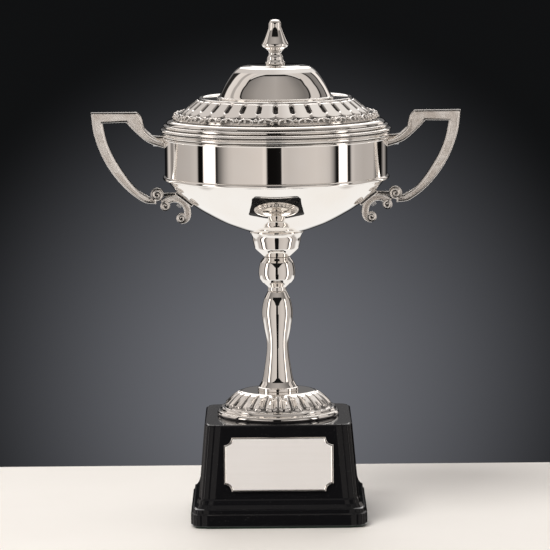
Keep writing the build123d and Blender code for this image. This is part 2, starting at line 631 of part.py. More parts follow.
with BuildPart() as finial_screw:
    with BuildSketch(Plane.XY.offset(finial_seat)):
        Circle(FINIAL_SCREW_RADIUS)
    extrude(amount=FINIAL_WASHER_THICKNESS + FINIAL_SCREW_REACH - 0.5)
    with BuildSketch(Plane.XY.offset(finial_seat)):
        Circle(3.6)
    extrude(amount=-2.4)
    chamfer(finial_screw.edges().group_by(Axis.Z)[0], length=0.5)
    with BuildSketch(Plane.XY.offset(finial_seat - 2.4)):
        Rectangle(8, 1.0)
    extrude(amount=1.2, mode=Mode.SUBTRACT)
save(finial_screw.part, "finial_screw")
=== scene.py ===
# %% [markdown]
# # A silver-plated cup trophy
#
# The CAD model says where every part sits and how big it is. This lesson gives each
# part you can see its real shape and finish: spun and polished silver plate, cast
# handles with matt panels, a satin nameplate and a glossy black plinth.
#
# The first step loads the CAD model. Nothing made here may grow past it.

import math

import bmesh
import bpy
from mathutils import Matrix, Vector
from mathutils.geometry import interpolate_bezier


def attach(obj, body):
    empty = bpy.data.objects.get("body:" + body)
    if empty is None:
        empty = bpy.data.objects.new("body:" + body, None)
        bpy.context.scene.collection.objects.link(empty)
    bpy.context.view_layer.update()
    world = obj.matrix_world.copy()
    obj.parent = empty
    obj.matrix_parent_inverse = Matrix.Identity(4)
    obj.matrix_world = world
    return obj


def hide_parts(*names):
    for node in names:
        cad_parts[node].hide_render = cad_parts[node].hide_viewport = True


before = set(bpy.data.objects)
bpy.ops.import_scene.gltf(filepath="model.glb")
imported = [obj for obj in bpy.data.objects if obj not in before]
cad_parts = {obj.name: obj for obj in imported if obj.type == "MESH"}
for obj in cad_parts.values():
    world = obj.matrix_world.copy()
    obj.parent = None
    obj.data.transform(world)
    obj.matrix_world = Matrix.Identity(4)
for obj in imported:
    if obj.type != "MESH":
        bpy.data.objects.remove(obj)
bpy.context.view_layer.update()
MM = 0.001

# %% [markdown]
# ## Where we stand
#
# A presentation cup is shown from just above its rim, through a long lens, so that its
# sides look parallel. The camera leans by half a degree, as hand-set cameras do.

# %% Camera
CAMERA_DISTANCE = 2.353
CAMERA_HEIGHT = 0.4173
CAMERA_SIDE = -0.0012
LOOKING_DOWN = math.radians(6.67)
LEAN = math.radians(-0.5)

lens = bpy.data.cameras.new("long_lens")
lens.lens = 263.6
lens.sensor_width = 36.0
camera = bpy.data.objects.new("camera", lens)
bpy.context.collection.objects.link(camera)
camera.matrix_world = (
    Matrix.Translation((CAMERA_SIDE, -CAMERA_DISTANCE, CAMERA_HEIGHT))
    @ Matrix.Rotation(math.pi / 2 - LOOKING_DOWN, 4, "X")
    @ Matrix.Rotation(LEAN, 4, "Z")
)
bpy.context.scene.camera = camera
bpy.context.scene.view_settings.view_transform = "Standard"
print("camera stands at", [round(value, 3) for value in camera.location])

# %% [markdown]
# ## Short ways to add nodes
#
# Polished metal has next to no colour of its own. What you see is the room, so the room
# and the finishes are both built from nodes. These helpers keep each recipe short.

# %% Node helpers
def add_node(tree, kind, inputs=None, **settings):
    """Adds a shader node, sets its properties, and sets or links its inputs."""
    node = tree.nodes.new("ShaderNode" + kind)
    for name, value in settings.items():
        setattr(node, name, value)
    for socket, value in (inputs or {}).items():
        if isinstance(value, bpy.types.NodeSocket):
            tree.links.new(value, node.inputs[socket])
        else:
            node.inputs[socket].default_value = value
    return node


def calculate(tree, operation, first, second=0.0):
    """One arithmetic step on two values or sockets."""
    return add_node(tree, "Math", {0: first, 1: second}, operation=operation).outputs[0]


def multiply(tree, first, second):
    """Two values or sockets, multiplied."""
    return calculate(tree, "MULTIPLY", first, second)


def remap(tree, value, start, stop, low=0.0, high=1.0, easing="LINEAR"):
    """Stretches the range start..stop to low..high and holds it at both ends."""
    inputs = {"Value": value, "From Min": start, "From Max": stop, "To Min": low, "To Max": high}
    return add_node(tree, "MapRange", inputs, interpolation_type=easing).outputs["Result"]


def mix_colours(tree, share, first, second):
    """Mixes two colours or colour sockets: share 0 gives the first."""
    mixer = add_node(tree, "Mix", {0: share, 6: first, 7: second}, data_type="RGBA")
    return mixer.outputs[2]


def grain(tree, waves, detail=3.0, stretch=(1, 1, 1)):
    """Noise in the piece's own space, with so many waves to the metre."""
    place = add_node(tree, "TexCoord").outputs["Object"]
    turned_place = add_node(tree, "Mapping", {"Vector": place, "Scale": stretch})
    inputs = {"Vector": turned_place.outputs["Vector"], "Scale": waves, "Detail": detail}
    return add_node(tree, "TexNoise", inputs).outputs["Fac"]


def ramp(tree, value, stops, easing="LINEAR"):
    """A grey ramp through (place, brightness) stops."""
    node = add_node(tree, "ValToRGB", {"Fac": value})
    band = node.color_ramp
    band.interpolation = easing
    for place, brightness in stops[2:]:
        band.elements.new(place)
    for element, (place, brightness) in zip(band.elements, stops):
        element.position = place
        element.color = (brightness, brightness, brightness, 1)
    return node.outputs["Color"]


# %% [markdown]
# ## The studio
#
# A mirror-bright cup is lit by what stands round it: broad soft panels left and right,
# a narrow dark gap where the camera looks through, two bright strip lights, and darkness
# behind. Above there is a pale ceiling, and pale ground throws light up into the bowl.
# Panels are described by their azimuth: 0 is the camera's side, plus is to the right.

# %% Studio panels
HALF_TURN = 180.0

# (azimuth in degrees, brightness), from behind the cup round by one side to the front.
LEFT_PANELS = [
    (-180, 0.004), (-157, 0.004), (-153, 0.13), (-150, 0.48), (-146, 0.66), (-142.5, 0.52),
    (-139.3, 0.27), (-136, 0.19), (-133.4, 0.37), (-130.8, 0.53), (-123.6, 0.45), (-100.6, 0.49),
    (-92, 0.55), (-89.5, 0.50), (-87.6, 0.004), (-81.6, 0.004), (-79.4, 2.0), (-66.4, 2.0),
    (-65.0, 0.02), (-63.4, 0.02), (-61.5, 0.137), (-59.2, 0.21), (-54.4, 0.42), (-49.8, 0.56),
    (-45, 0.62), (-25, 0.666), (-14.5, 0.70), (-12.8, 0.80), (-10.4, 0.76), (-8.9, 0.004),
    (0, 0.005),
]
RIGHT_PANELS = [
    (0, 0.005), (4.9, 0.008), (6.3, 0.68), (7.6, 0.58), (13, 0.556), (25, 0.61), (42, 0.657),
    (52, 0.62), (56.7, 0.56), (59, 0.42), (61.3, 0.277), (63.8, 0.05), (65, 0.004),
    (67.4, 0.004), (68.6, 2.0), (77.6, 2.0), (79.4, 0.01), (82.4, 0.03), (84.3, 0.50),
    (86, 0.59), (90.4, 0.50), (102, 0.46), (119.7, 0.48), (124, 0.27), (126.2, 0.17),
    (129, 0.145), (131, 0.006), (140.5, 0.004), (146, 0.28), (150, 0.37), (155, 0.19),
    (168, 0.01),
]
PANEL_TINT = (1.0, 0.925, 0.875, 1)


def side_stops(panels, start):
    """Panel azimuths of one half circle as ramp places from 0 to 1."""
    return [((azimuth - start) / HALF_TURN, brightness) for azimuth, brightness in panels]


world = bpy.data.worlds.new("studio")
world.use_nodes = True
bpy.context.scene.world = world
sky = world.node_tree
direction = add_node(sky, "SeparateXYZ", {0: add_node(sky, "TexCoord").outputs["Generated"]})
right, away, up = direction.outputs[:3]
towards = multiply(sky, away, -1.0)
azimuth = multiply(sky, calculate(sky, "ARCTAN2", right, towards), HALF_TURN / math.pi)
elevation = multiply(sky, calculate(sky, "ARCSINE", up), HALF_TURN / math.pi)
off_centre = calculate(sky, "ABSOLUTE", azimuth)

left_side = ramp(sky, remap(sky, azimuth, -180, 0), side_stops(LEFT_PANELS, -180))
right_side = ramp(sky, remap(sky, azimuth, 0, 180), side_stops(RIGHT_PANELS, 0))
on_right = calculate(sky, "GREATER_THAN", azimuth, 0.0)
panels = mix_colours(sky, on_right, left_side, right_side)
print("studio has", len(LEFT_PANELS) + len(RIGHT_PANELS), "panel stops")

# %% [markdown]
# The upper cloths hang so that a sloping mirror sees their edges level. The easy way to
# draw that is to ask, for each direction, how far a mirror would have to lean back to
# show it to somebody standing in front. A lean of 21 degrees looks over the side panels
# at the cloths. Below the panels there is pale ground, and behind the cup it starts
# higher. The dark gap in front is wider low down, where the stem looks.

# %% Cloths and ground
VIEWER = Vector((0, 1, -0.117))
# (azimuth in degrees, brightness) of the cloths, from behind the cup right round it.
CLOTH_STOPS = [
    (-180, 0.02), (-139, 0.02), (-137, 0.80), (-119, 0.76), (-117, 0.42), (-110, 0.42), (-108, 0.74),
    (-92.5, 0.70), (-91.5, 0.01), (-88.5, 0.01), (-87, 0.20), (-50, 0.34), (0, 0.42), (45, 0.33),
    (76, 0.19), (86, 0.19), (87.5, 0.01), (90.5, 0.01), (92, 0.66), (115, 0.62), (116.5, 0.02),
    (120, 0.02), (121.5, 0.20), (136, 0.24), (137.5, 0.02), (141, 0.02), (142.5, 1.0), (154, 0.9),
    (156, 0.02), (180, 0.02),
]
GROUND_LIGHT = (0.95, 0.93, 0.91, 1)
NEAR_BLACK = (0.006, 0.006, 0.006, 1)


def lay(under, over, *spans):
    """Lays a colour over the sky so far.

    Each span is a measure, the value of it where nothing shows and the value where all
    does. The colour shows where every span lets it."""
    shares = [remap(sky, *span) for span in spans]
    share = shares[0]
    for further in shares[1:]:
        share = multiply(sky, share, further)
    return mix_colours(sky, share, under, over)


def tinted(colour):
    """The same light, a little warmer."""
    warm = {0: 1.0, 6: colour, 7: PANEL_TINT}
    return add_node(sky, "Mix", warm, data_type="RGBA", blend_type="MULTIPLY").outputs[2]


halfway = {0: add_node(sky, "TexCoord").outputs["Generated"], 1: VIEWER}
halfway = add_node(sky, "VectorMath", halfway, operation="SUBTRACT").outputs[0]
halfway = add_node(sky, "VectorMath", {0: halfway}, operation="NORMALIZE").outputs[0]
lean = calculate(sky, "ARCSINE", add_node(sky, "SeparateXYZ", {0: halfway}).outputs[2])
lean = multiply(sky, lean, HALF_TURN / math.pi)
across = calculate(sky, "SUBTRACT", HALF_TURN, off_centre)

cloth_places = [((turn + HALF_TURN) / (2 * HALF_TURN), brightness) for turn, brightness in CLOTH_STOPS]
cloths = ramp(sky, remap(sky, azimuth, -HALF_TURN, HALF_TURN), cloth_places)
room = lay(GROUND_LIGHT, tinted(panels), (elevation, -50, -44))
room = lay(room, GROUND_LIGHT, (across, 75, 62), (elevation, -12, -16))
room = lay(room, NEAR_BLACK, (off_centre, 11, 9.5), (elevation, -5.8, -6.6), (elevation, -46, -40))
room = lay(room, tinted(cloths), (lean, 20.5, 22))
print("the cloths have", len(CLOTH_STOPS), "stops")

# %% [markdown]
# The camera's gap opens into a dark wedge above the lens. At a lean of 40 degrees the
# front cloth ends in one more dark gap, which comes lower near its sides, so that its
# corners look round. Then comes the ceiling, with a strip lamp across it. Low down
# behind the cup the room stays dark.

# %% Gaps and ceiling
GAP_BLACK = (0.008, 0.008, 0.008, 1)
FAR_BLACK = (0.006, 0.006, 0.007, 1)
PALE_EDGE = (0.68, 0.64, 0.61, 1)
CEILING_LEFT, CEILING_RIGHT = (0.64, 0.60, 0.575, 1), (0.80, 0.765, 0.74, 1)
REAR_CEILING = (1.30, 1.28, 1.25, 1)
STRIP_LAMP = (3.2, 3.1, 3.05, 1)
CORNER_DROP = 6.0

wedge = calculate(sky, "LESS_THAN", off_centre, remap(sky, lean, 11, 21, 10, 46))
room = lay(room, GAP_BLACK, (wedge, 0, 1), (lean, 25.0, 24.4), (lean, 11, 12))
corner = remap(sky, off_centre, 58, 88)
drop = multiply(sky, multiply(sky, corner, corner), CORNER_DROP)
rounded = calculate(sky, "ADD", lean, drop)
at_front = (off_centre, 92, 91)
room = lay(room, GAP_BLACK, (rounded, 40.0, 40.6), at_front)
room = lay(room, PALE_EDGE, (rounded, 42.4, 43.0), at_front)
ceiling = lay(CEILING_LEFT, CEILING_RIGHT, (right, -0.05, 0.25))
room = lay(room, ceiling, (lean, 43.5, 46))
room = lay(room, REAR_CEILING, (lean, 60, 64), (elevation, 13, 17))
sideways = calculate(sky, "ABSOLUTE", right)
room = lay(room, STRIP_LAMP, (lean, 60, 61.5), (lean, 67.5, 66), (sideways, 0.50, 0.40))
room = lay(room, FAR_BLACK, (away, 0.90, 0.96), (elevation, 17, 13))
print("corners of the front cloth come lower by", CORNER_DROP, "degrees")

# %% [markdown]
# The backdrop behind the cup is dark, with a soft pool of light low in its middle. A dim
# strip of it shows again higher up, so that the top of the plinth has something to mirror.

# %% Backdrop
GLOW_HEIGHT, GLOW_REACH = -8.3, 5.4
BACKDROP_DARK, BACKDROP_GLOW = (0.0055, 0.0058, 0.0062, 1), (0.150, 0.154, 0.172, 1)
STRIP_GREY = (0.17, 0.165, 0.165, 1)

upwards = calculate(sky, "SUBTRACT", elevation, GLOW_HEIGHT)
squared = calculate(
    sky, "ADD", multiply(sky, across, across), multiply(sky, upwards, upwards)
)
glow = remap(sky, calculate(sky, "SQRT", squared), 0.0, GLOW_REACH, 1.0, 0.0, "SMOOTHSTEP")
backdrop = mix_colours(sky, glow, BACKDROP_DARK, BACKDROP_GLOW)
room = lay(room, backdrop, (across, 12.0, 9.0), (elevation, 3.0, 1.0), (elevation, -20, -14))
room = lay(room, STRIP_GREY, (elevation, 3.5, 5.5), (elevation, 13, 11.5), (across, 26.0, 18.0))
sky.links.new(room, sky.nodes["Background"].inputs["Color"])
print("the pool of light reaches", GLOW_REACH, "degrees")

# %% [markdown]
# The table is a plain pale sheet. It ends a little way behind the cup, where the
# backdrop begins, and one soft lamp above the camera's left gives it a gentle shadow.
# Mirrors don't see it, because the ground that they see is part of the studio.

# %% Table and lamp
def new_finish(name, colour, metallic, roughness):
    """A material with its Principled shader set up for one finish."""
    finish = bpy.data.materials.new(name)
    finish.use_nodes = True
    shader = finish.node_tree.nodes["Principled BSDF"]
    shader.inputs["Base Color"].default_value = (*colour, 1)
    shader.inputs["Metallic"].default_value = metallic
    shader.inputs["Roughness"].default_value = roughness
    return finish, finish.node_tree, shader


def connect(tree, shader, colour=None, roughness=None, height=None, depth=0.0, strength=0.2):
    """Links a finish's varying colour, roughness and bump height (depth in metres)."""
    if colour is not None:
        tree.links.new(colour, shader.inputs["Base Color"])
    if roughness is not None:
        tree.links.new(roughness, shader.inputs["Roughness"])
    if height is not None:
        bump = add_node(tree, "Bump", {"Height": height, "Distance": depth, "Strength": strength})
        tree.links.new(bump.outputs["Normal"], shader.inputs["Normal"])


TABLE_BACK = 0.18
TABLE_FRONT = -0.20
TABLE_SIDE = 0.42
TABLE_THICKNESS = 0.03

slab = bmesh.new()
bmesh.ops.create_cube(slab, size=1.0)
bmesh.ops.scale(slab, vec=(2 * TABLE_SIDE, TABLE_BACK - TABLE_FRONT, TABLE_THICKNESS), verts=slab.verts)
bmesh.ops.translate(
    slab, vec=(0, (TABLE_BACK + TABLE_FRONT) / 2, -TABLE_THICKNESS / 2), verts=slab.verts
)
bmesh.ops.bevel(
    slab, geom=slab.edges[:], offset=0.003, segments=3, profile=0.5, affect="EDGES", material=-1
)
table_mesh = bpy.data.meshes.new("table_top")
slab.to_mesh(table_mesh)
slab.free()
table_top = bpy.data.objects.new("table_top", table_mesh)
bpy.context.collection.objects.link(table_top)
table_top.visible_glossy = False

pale, tree, shader = new_finish("pale_table", (0.70, 0.68, 0.65), 0.0, 0.55)
tone = mix_colours(tree, grain(tree, 9.0, 4.0), (0.70, 0.68, 0.65, 1), (0.76, 0.74, 0.715, 1))
connect(tree, shader, tone)
table_mesh.materials.append(pale)

lamp_light = bpy.data.lights.new("soft_lamp", "AREA")
lamp_light.shape = "DISK"
lamp_light.size = 0.9
lamp_light.energy = 34.0
lamp_light.color = (1.0, 0.97, 0.93)
lamp = bpy.data.objects.new("soft_lamp", lamp_light)
bpy.context.collection.objects.link(lamp)
LAMP_PLACE = Vector((-0.75, -0.9, 1.7))
lamp.matrix_world = Matrix.Translation(LAMP_PLACE) @ (
    (Vector((0, 0, 0.15)) - LAMP_PLACE).to_track_quat("-Z", "Y").to_matrix().to_4x4()
)
lamp.visible_glossy = False
print("table is", TABLE_SIDE * 2, "m wide")

# %% [markdown]
# ## Finishes
#
# Silver plate is buffed until it mirrors, but never perfectly: wiping leaves faint cloudy
# patches and hairlines. A piece can carry a "recess" value on its vertices, 1 deep in a groove
# and 0 elsewhere, and the finish reads it and paints those places near black: real brown
# tarnish that the polish leaves in a recess, together with painted shade.

# %% Silver plate
SILVER = (0.955, 0.935, 0.905)
SILVER_WARM = (0.925, 0.885, 0.835)
# Near black for recesses: real tarnish together with painted shade.
TARNISH_AND_SHADE = (0.012, 0.010, 0.009)


def silver_plate(name, smooth, smudged, hairline):
    """Polished plate; smooth and smudged are its roughness where clean and where wiped."""
    finish, tree, shader = new_finish(name, SILVER, 1.0, smooth)
    cloud = grain(tree, 28.0, 3.0)
    recess = add_node(tree, "Attribute", attribute_name="recess").outputs["Fac"]
    patchy = remap(tree, cloud, 0.35, 0.70)
    plate = mix_colours(tree, patchy, (*SILVER, 1), (*SILVER_WARM, 1))
    # Recessed places are painted near black: painted shade together with real tarnish.
    shade_and_tarnish_share = multiply(tree, recess, remap(tree, grain(tree, 900.0), 0.3, 0.6, 0.93, 1.0))
    colour = mix_colours(tree, shade_and_tarnish_share, plate, (*TARNISH_AND_SHADE, 1))
    polish = remap(tree, cloud, 0.35, 0.75, smooth, smudged)
    roughness = calculate(tree, "ADD", polish, multiply(tree, recess, 0.30))
    scratches = grain(tree, 1400.0, 2.0, (1, 1, 0.06))
    connect(tree, shader, colour, roughness, scratches, depth=0.00002, strength=hairline)
    return finish


polished_silver = silver_plate("polished_silver", 0.012, 0.035, 0.03)
cast_silver = silver_plate("cast_silver_polish", 0.11, 0.20, 0.22)
print("silver plate reflects", SILVER)

# %% [markdown]
# The castings have panels punched all over with a matting tool, so the polished borders
# stand out. Fine cells make the punch marks, and tarnish collects in them.

# %% Matted silver
matted_silver, tree, shader = new_finish("matted_silver", SILVER_WARM, 0.5, 0.34)
place = add_node(tree, "TexCoord").outputs["Object"]
punches = add_node(tree, "TexVoronoi", {"Vector": place, "Scale": 1500.0}).outputs["Distance"]
fine = grain(tree, 2600.0, 2.0)
worn = grain(tree, 160.0, 3.0)
height = calculate(tree, "ADD", punches, multiply(tree, fine, 0.6))
in_marks = remap(tree, punches, 0.15, 0.75, 0.20, 0.0)
tone = mix_colours(tree, in_marks, (0.92, 0.885, 0.845, 1), (0.45, 0.38, 0.33, 1))
tone = mix_colours(tree, remap(tree, worn, 0.40, 0.60, 0.55, 0.0), tone, (0.50, 0.43, 0.37, 1))
polish = remap(tree, worn, 0.3, 0.7, 0.46, 0.32)
connect(tree, shader, tone, polish, height, depth=0.00012, strength=0.5)

# %% [markdown]
# The nameplate is brushed along its length, so it has no clear reflections: it picks up
# the pale light of the whole room. Long thin noise makes the brush marks.

# %% Satin nameplate silver
satin_silver, tree, shader = new_finish("satin_silver", SILVER, 0.30, 0.42)
brushing = grain(tree, 700.0, 3.0, (0.03, 1, 1))
handling = grain(tree, 22.0, 2.0)
handled = remap(tree, handling, 0.35, 0.7)
tone = mix_colours(tree, handled, (0.985, 0.965, 0.955, 1), (0.965, 0.94, 0.925, 1))
tone = mix_colours(tree, remap(tree, brushing, 0.35, 0.65, 0.0, 0.12), tone, (0.84, 0.82, 0.79, 1))
polish = remap(tree, brushing, 0.3, 0.7, 0.38, 0.46)
connect(tree, shader, tone, polish, brushing, depth=0.00002, strength=0.2)

# %% [markdown]
# The plinth is moulded in black plastic with a deep gloss. It is not quite flat, like
# all mouldings, and it shows dust and fine rubs as slightly duller spots.

# %% Gloss black moulding
gloss_black, tree, shader = new_finish("gloss_black", (0.008, 0.008, 0.009), 0.0, 0.07)
shader.inputs["IOR"].default_value = 1.52
shader.inputs["Specular IOR Level"].default_value = 0.2
dust = remap(tree, grain(tree, 1100.0, 2.0), 0.66, 0.74)
rubs = remap(tree, grain(tree, 60.0, 4.0), 0.45, 0.75)
dusty = multiply(tree, dust, 0.5)
tone = mix_colours(tree, dusty, (0.006, 0.006, 0.007, 1), (0.05, 0.05, 0.05, 1))
polish = remap(tree, rubs, 0, 1, 0.06, 0.14)
roughness = calculate(tree, "ADD", polish, multiply(tree, dust, 0.15))
connect(tree, shader, tone, roughness, grain(tree, 45.0, 2.0), depth=0.0002, strength=0.12)

# %% [markdown]
# The hidden parts have honest finishes too: baize under the base, zinc-plated steel
# fasteners, a cast-iron weight, a fibre washer, a sheet of adhesive and brass.

# %% Hidden finishes
def speckled(name, first, second, metallic, rough_range, waves, depth, stretch=(1, 1, 1)):
    """A finish that varies between two colours and two roughnesses on one grain."""
    finish, tree, shader = new_finish(name, first, metallic, rough_range[0])
    coarse = grain(tree, waves, 4.0, stretch)
    fine = grain(tree, waves * 5, 2.0, stretch)
    both = remap(tree, calculate(tree, "ADD", coarse, multiply(tree, fine, 0.5)), 0.45, 1.05)
    colour = mix_colours(tree, both, (*first, 1), (*second, 1))
    connect(tree, shader, colour, remap(tree, both, 0, 1, *rough_range), both, depth, 0.6)
    return finish


# Parts, then two colours, metallic, two roughnesses, waves to the metre, depth in m and
# sometimes a stretch.
ZINC_PARTS = [
    "plinth_washer", "plinth_spring_washer", "plinth_nut", "tie_rod", "bowl_washer",
    "handle_screws", "handle_washers", "finial_washer", "finial_screw",
]
HIDDEN_FINISHES = {
    "baize": (
        ["felt_pad"], (0.010, 0.026, 0.017), (0.030, 0.065, 0.042), 0.0, (0.95, 0.85), 1300.0, 0.0006
    ),
    "zinc_steel": (
        ZINC_PARTS, (0.60, 0.61, 0.62), (0.44, 0.45, 0.47), 1.0, (0.26, 0.42), 300.0, 0.00003, (1, 1, 0.2)
    ),
    "ballast_iron": (
        ["plinth_weight"], (0.060, 0.058, 0.056), (0.11, 0.095, 0.08), 0.7, (0.55, 0.75), 350.0, 0.0004
    ),
    "red_fibre": (
        ["bowl_gasket"], (0.19, 0.045, 0.030), (0.26, 0.075, 0.045), 0.0, (0.62, 0.75), 900.0, 0.0001
    ),
    "clear_adhesive": (
        ["nameplate_adhesive"], (0.62, 0.60, 0.52), (0.70, 0.68, 0.62), 0.0, (0.35, 0.55), 500.0, 0.0001
    ),
    "brass": (["bowl_nut"], (0.72, 0.52, 0.24), (0.55, 0.37, 0.15), 1.0, (0.20, 0.34), 250.0, 0.00003),
}
for name, (nodes, *recipe) in HIDDEN_FINISHES.items():
    finish = speckled(name, *recipe)
    for node in nodes:
        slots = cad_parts[node].data.materials
        slots.clear()
        slots.append(finish)
    print(name, "is on", ", ".join(nodes))
baize_shader = bpy.data.materials["baize"].node_tree.nodes["Principled BSDF"]
baize_shader.inputs["Sheen Weight"].default_value = 0.5
baize_shader.inputs["Sheen Roughness"].default_value = 0.4

# %% [markdown]
# ## How turned parts are made
#
# Bowl, lid, stem and foot were all spun or turned on a lathe, so here they are outlines
# spun round the axis too. Every sharp corner gets a small rounding, because a real edge
# is never sharp and a polished one shows as a bright line. The weighted normals keep
# wide flat faces flat beside those roundings.

# %% Outlines, spinning and finishing
def curve_through(points, steps=6):
    """(radius, height) points along a smooth curve through the given ones."""
    knots = [Vector(point) for point in points]
    ends = [2 * knots[0] - knots[1], *knots, 2 * knots[-1] - knots[-2]]
    run = []
    for before, start, stop, after in zip(ends, ends[1:], ends[2:], ends[3:]):
        reach = (stop - start).length / 3
        leaving = start + (stop - before).normalized() * reach
        arriving = stop - (after - start).normalized() * reach
        run += interpolate_bezier(start, leaving, arriving, stop, steps + 1)[:-1]
    return [tuple(point) for point in run] + [tuple(points[-1])]


def heading(points, index):
    """Which way a run of points goes at one of them."""
    return points[min(index + 1, len(points) - 1)] - points[max(index - 1, 0)]


def soften(shape, width, sharp=22):
    """Rounds every edge that turns by more than an angle in degrees; width in mm."""
    sharp_edges = [
        edge for edge in shape.edges
        if edge.is_manifold and edge.calc_face_angle(0.0) > math.radians(sharp)
    ]
    bmesh.ops.bevel(
        shape, geom=sharp_edges, offset=width * MM, segments=3, profile=0.5,
        affect="EDGES", clamp_overlap=True, material=-1,
    )


def face_outwards(shape):
    """Turns the outside of every face outwards."""
    bmesh.ops.recalc_face_normals(shape, faces=shape.faces[:])


def spin_outline(outline, steps):
    """Spins a closed (radius, height) outline in mm once round the axis."""
    shape = bmesh.new()
    points = [shape.verts.new((radius * MM, 0, height * MM)) for radius, height in outline]
    for start, stop in zip(points, points[1:]):
        shape.edges.new((start, stop))
    if outline[0][0] > 0 or outline[-1][0] > 0:
        shape.edges.new((points[-1], points[0]))
    bmesh.ops.spin(
        shape, geom=shape.verts[:] + shape.edges[:], cent=(0, 0, 0), axis=(0, 0, 1),
        angle=2 * math.pi, steps=steps, use_merge=True,
    )
    bmesh.ops.remove_doubles(shape, verts=shape.verts[:], dist=0.001 * MM)
    face_outwards(shape)
    return shape


def finish_piece(name, shape, body, nodes, slot, *finishes):
    """Makes a bmesh a piece of the model that stands for CAD nodes."""
    mesh = bpy.data.meshes.new(name)
    shape.to_mesh(mesh)
    shape.free()
    mesh.shade_smooth()
    piece = bpy.data.objects.new(name, mesh)
    bpy.context.collection.objects.link(piece)
    for finish in finishes:
        mesh.materials.append(finish)
    flat = piece.modifiers.new("flat_faces", "WEIGHTED_NORMAL")
    flat.keep_sharp = True
    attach(piece, body)
    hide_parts(*nodes)
    mesh.calc_loop_triangles()
    print(f"{name}: {len(mesh.loop_triangles)} triangles")
    return piece


def mark_tarnish_and_shade(shape, grooves, reach=0.5):
    """Marks the vertices near given (radius, height) points as recessed, so the finish paints shade and
    tarnish there.
    """
    recess = shape.verts.layers.float.new("recess")
    for vert in shape.verts:
        here = Vector((math.hypot(vert.co.x, vert.co.y) / MM, vert.co.z / MM))
        nearest = min((here - Vector(groove)).length for groove in grooves)
        vert[recess] = max(0.0, 1.0 - nearest / reach)


def turned(name, outline, body, node, finish=polished_silver, corner=0.2, steps=192, sharp=22, grooves=()):
    """A turned part: an outline spun, rounded and finished."""
    shape = spin_outline(outline, steps)
    soften(shape, corner, sharp)
    if grooves:
        mark_tarnish_and_shade(shape, grooves)
    return finish_piece(name, shape, body, [node], "silver", finish)


# %% [markdown]
# ## Stem
#
# A hollow cast column, a knop and a collar are threaded on one tie rod. Each is a
# separate turning, so fine joints show where they meet.

# %% Stem
ROD_HOLE = 3.3
column = [(ROD_HOLE, 74.0), (12.0, 74.0), (12.0, 75.9), (11.2, 76.1)]
column += curve_through([
    (10.8, 77.0), (9.2, 80.0), (8.0, 86.0), (6.4, 98.0), (6.6, 104.0), (8.2, 112.5),
    (9.1, 120.0), (7.9, 127.4), (5.6, 132.6),
], 8)
column += [(5.3, 132.95), (ROD_HOLE, 132.95)]
turned("stem_column_turned", column, "cup", "stem_column", corner=0.25)

knop = [(ROD_HOLE, 133.05), (5.35, 133.05), (5.6, 133.4), (5.35, 135.2), (8.1, 137.7), (8.5, 137.8)]
knop += curve_through([(9.3, 138.9), (10.3, 140.6), (10.8, 144.0), (9.8, 149.7), (7.9, 152.8)], 8)
knop += [(7.5, 153.1), (ROD_HOLE, 153.1)]
turned("stem_knop_turned", knop, "cup", "stem_knop")

collar = [(ROD_HOLE, 153.25), (7.7, 153.25), (12.2, 157.3), (12.9, 158.2)]
collar += curve_through([(13.1, 158.7), (14.0, 162.7), (14.4, 165.3), (15.4, 167.3)], 6)
collar += [(16.0, 167.6), (16.0, 168.3), (ROD_HOLE, 168.3)]
turned("stem_collar_turned", collar, "cup", "stem_collar", corner=0.25)

# %% [markdown]
# ## Bowl
#
# The bowl is one sheet, spun: a shallow dish below and a straight wall above. A round
# bead hides the turn between them, and a ring stiffens the rim.

# %% Bowl, bead and rim ring
bowl = curve_through([
    (16.0, 168.3), (24.0, 171.0), (33.0, 174.8), (44.5, 181.2), (51.6, 186.3), (58.0, 192.0),
    (61.9, 196.2), (65.2, 201.6),
], 9)
bowl += [(65.2, 210.0), (65.2, 218.0), (65.2, 226.6), (64.0, 226.6), (64.0, 214.0)]
bowl += curve_through([
    (64.0, 201.9), (60.9, 196.9), (57.1, 192.8), (50.8, 187.3), (43.8, 182.3), (32.4, 176.0),
    (23.5, 172.2), (16.0, 169.5),
], 8)
bowl += [(ROD_HOLE, 169.5), (ROD_HOLE, 168.3)]
turned("bowl_spun", bowl, "cup", "bowl_shell", steps=256)

BEAD_RADIUS, BEAD_STEPS = 1.3, 10
bead = []
for step in range(BEAD_STEPS + 1):
    angle = math.radians(-88 + 176 * step / BEAD_STEPS)
    bead.append((65.15 + BEAD_RADIUS * math.cos(angle), 200.3 + BEAD_RADIUS * math.sin(angle)))
turned("bowl_bead_turned", [(64.9, 199.0), *bead, (64.9, 201.6)], "cup", "bowl_bead", corner=0.1, steps=256)

rim = [(65.1, 222.7), (65.5, 222.7)] + curve_through([(65.9, 222.8), (66.35, 223.3), (66.2, 224.0)], 5)
rim += [(65.7, 224.35), (65.7, 224.55)]
rim += curve_through([(66.2, 224.7), (66.75, 225.2), (66.8, 225.8), (66.5, 226.4)], 5)
rim += [(66.1, 226.6), (65.1, 226.6)]
turned("rim_ring_turned", rim, "cup", "rim_ring", corner=0.06, steps=256, grooves=[(65.7, 224.45)])

# %% [markdown]
# ## Foot ring
#
# A heavier ring under the foot stands on the plinth and carries the load.

# %% Foot ring
foot_band = [(30.0, 59.5), (35.4, 59.5)] + curve_through([(35.7, 59.7), (36.0, 60.9), (35.5, 62.1)], 5)
foot_band += [(35.0, 62.5), (30.0, 62.5)]
turned("foot_ring_turned", foot_band, "cup", "foot_ring", corner=0.15)

# %% [markdown]
# ## Raised work on a turned part
#
# The foot and the lid carry gadroons: rows of raised tongues with dark grooves between.
# On the real cup a steel roller presses them. Here a turned part is spun in many small
# steps, and each vertex on the worked slope is pushed along the slope's normal. The
# depth also goes into the "recess" value, so the grooves get painted shade and tarnish.

# %% Relief helper
def ease(value, start, stop):
    """0 at start, 1 at stop, smooth in between."""
    share = min(max((value - start) / (stop - start), 0.0), 1.0)
    return share * share * (3 - 2 * share)


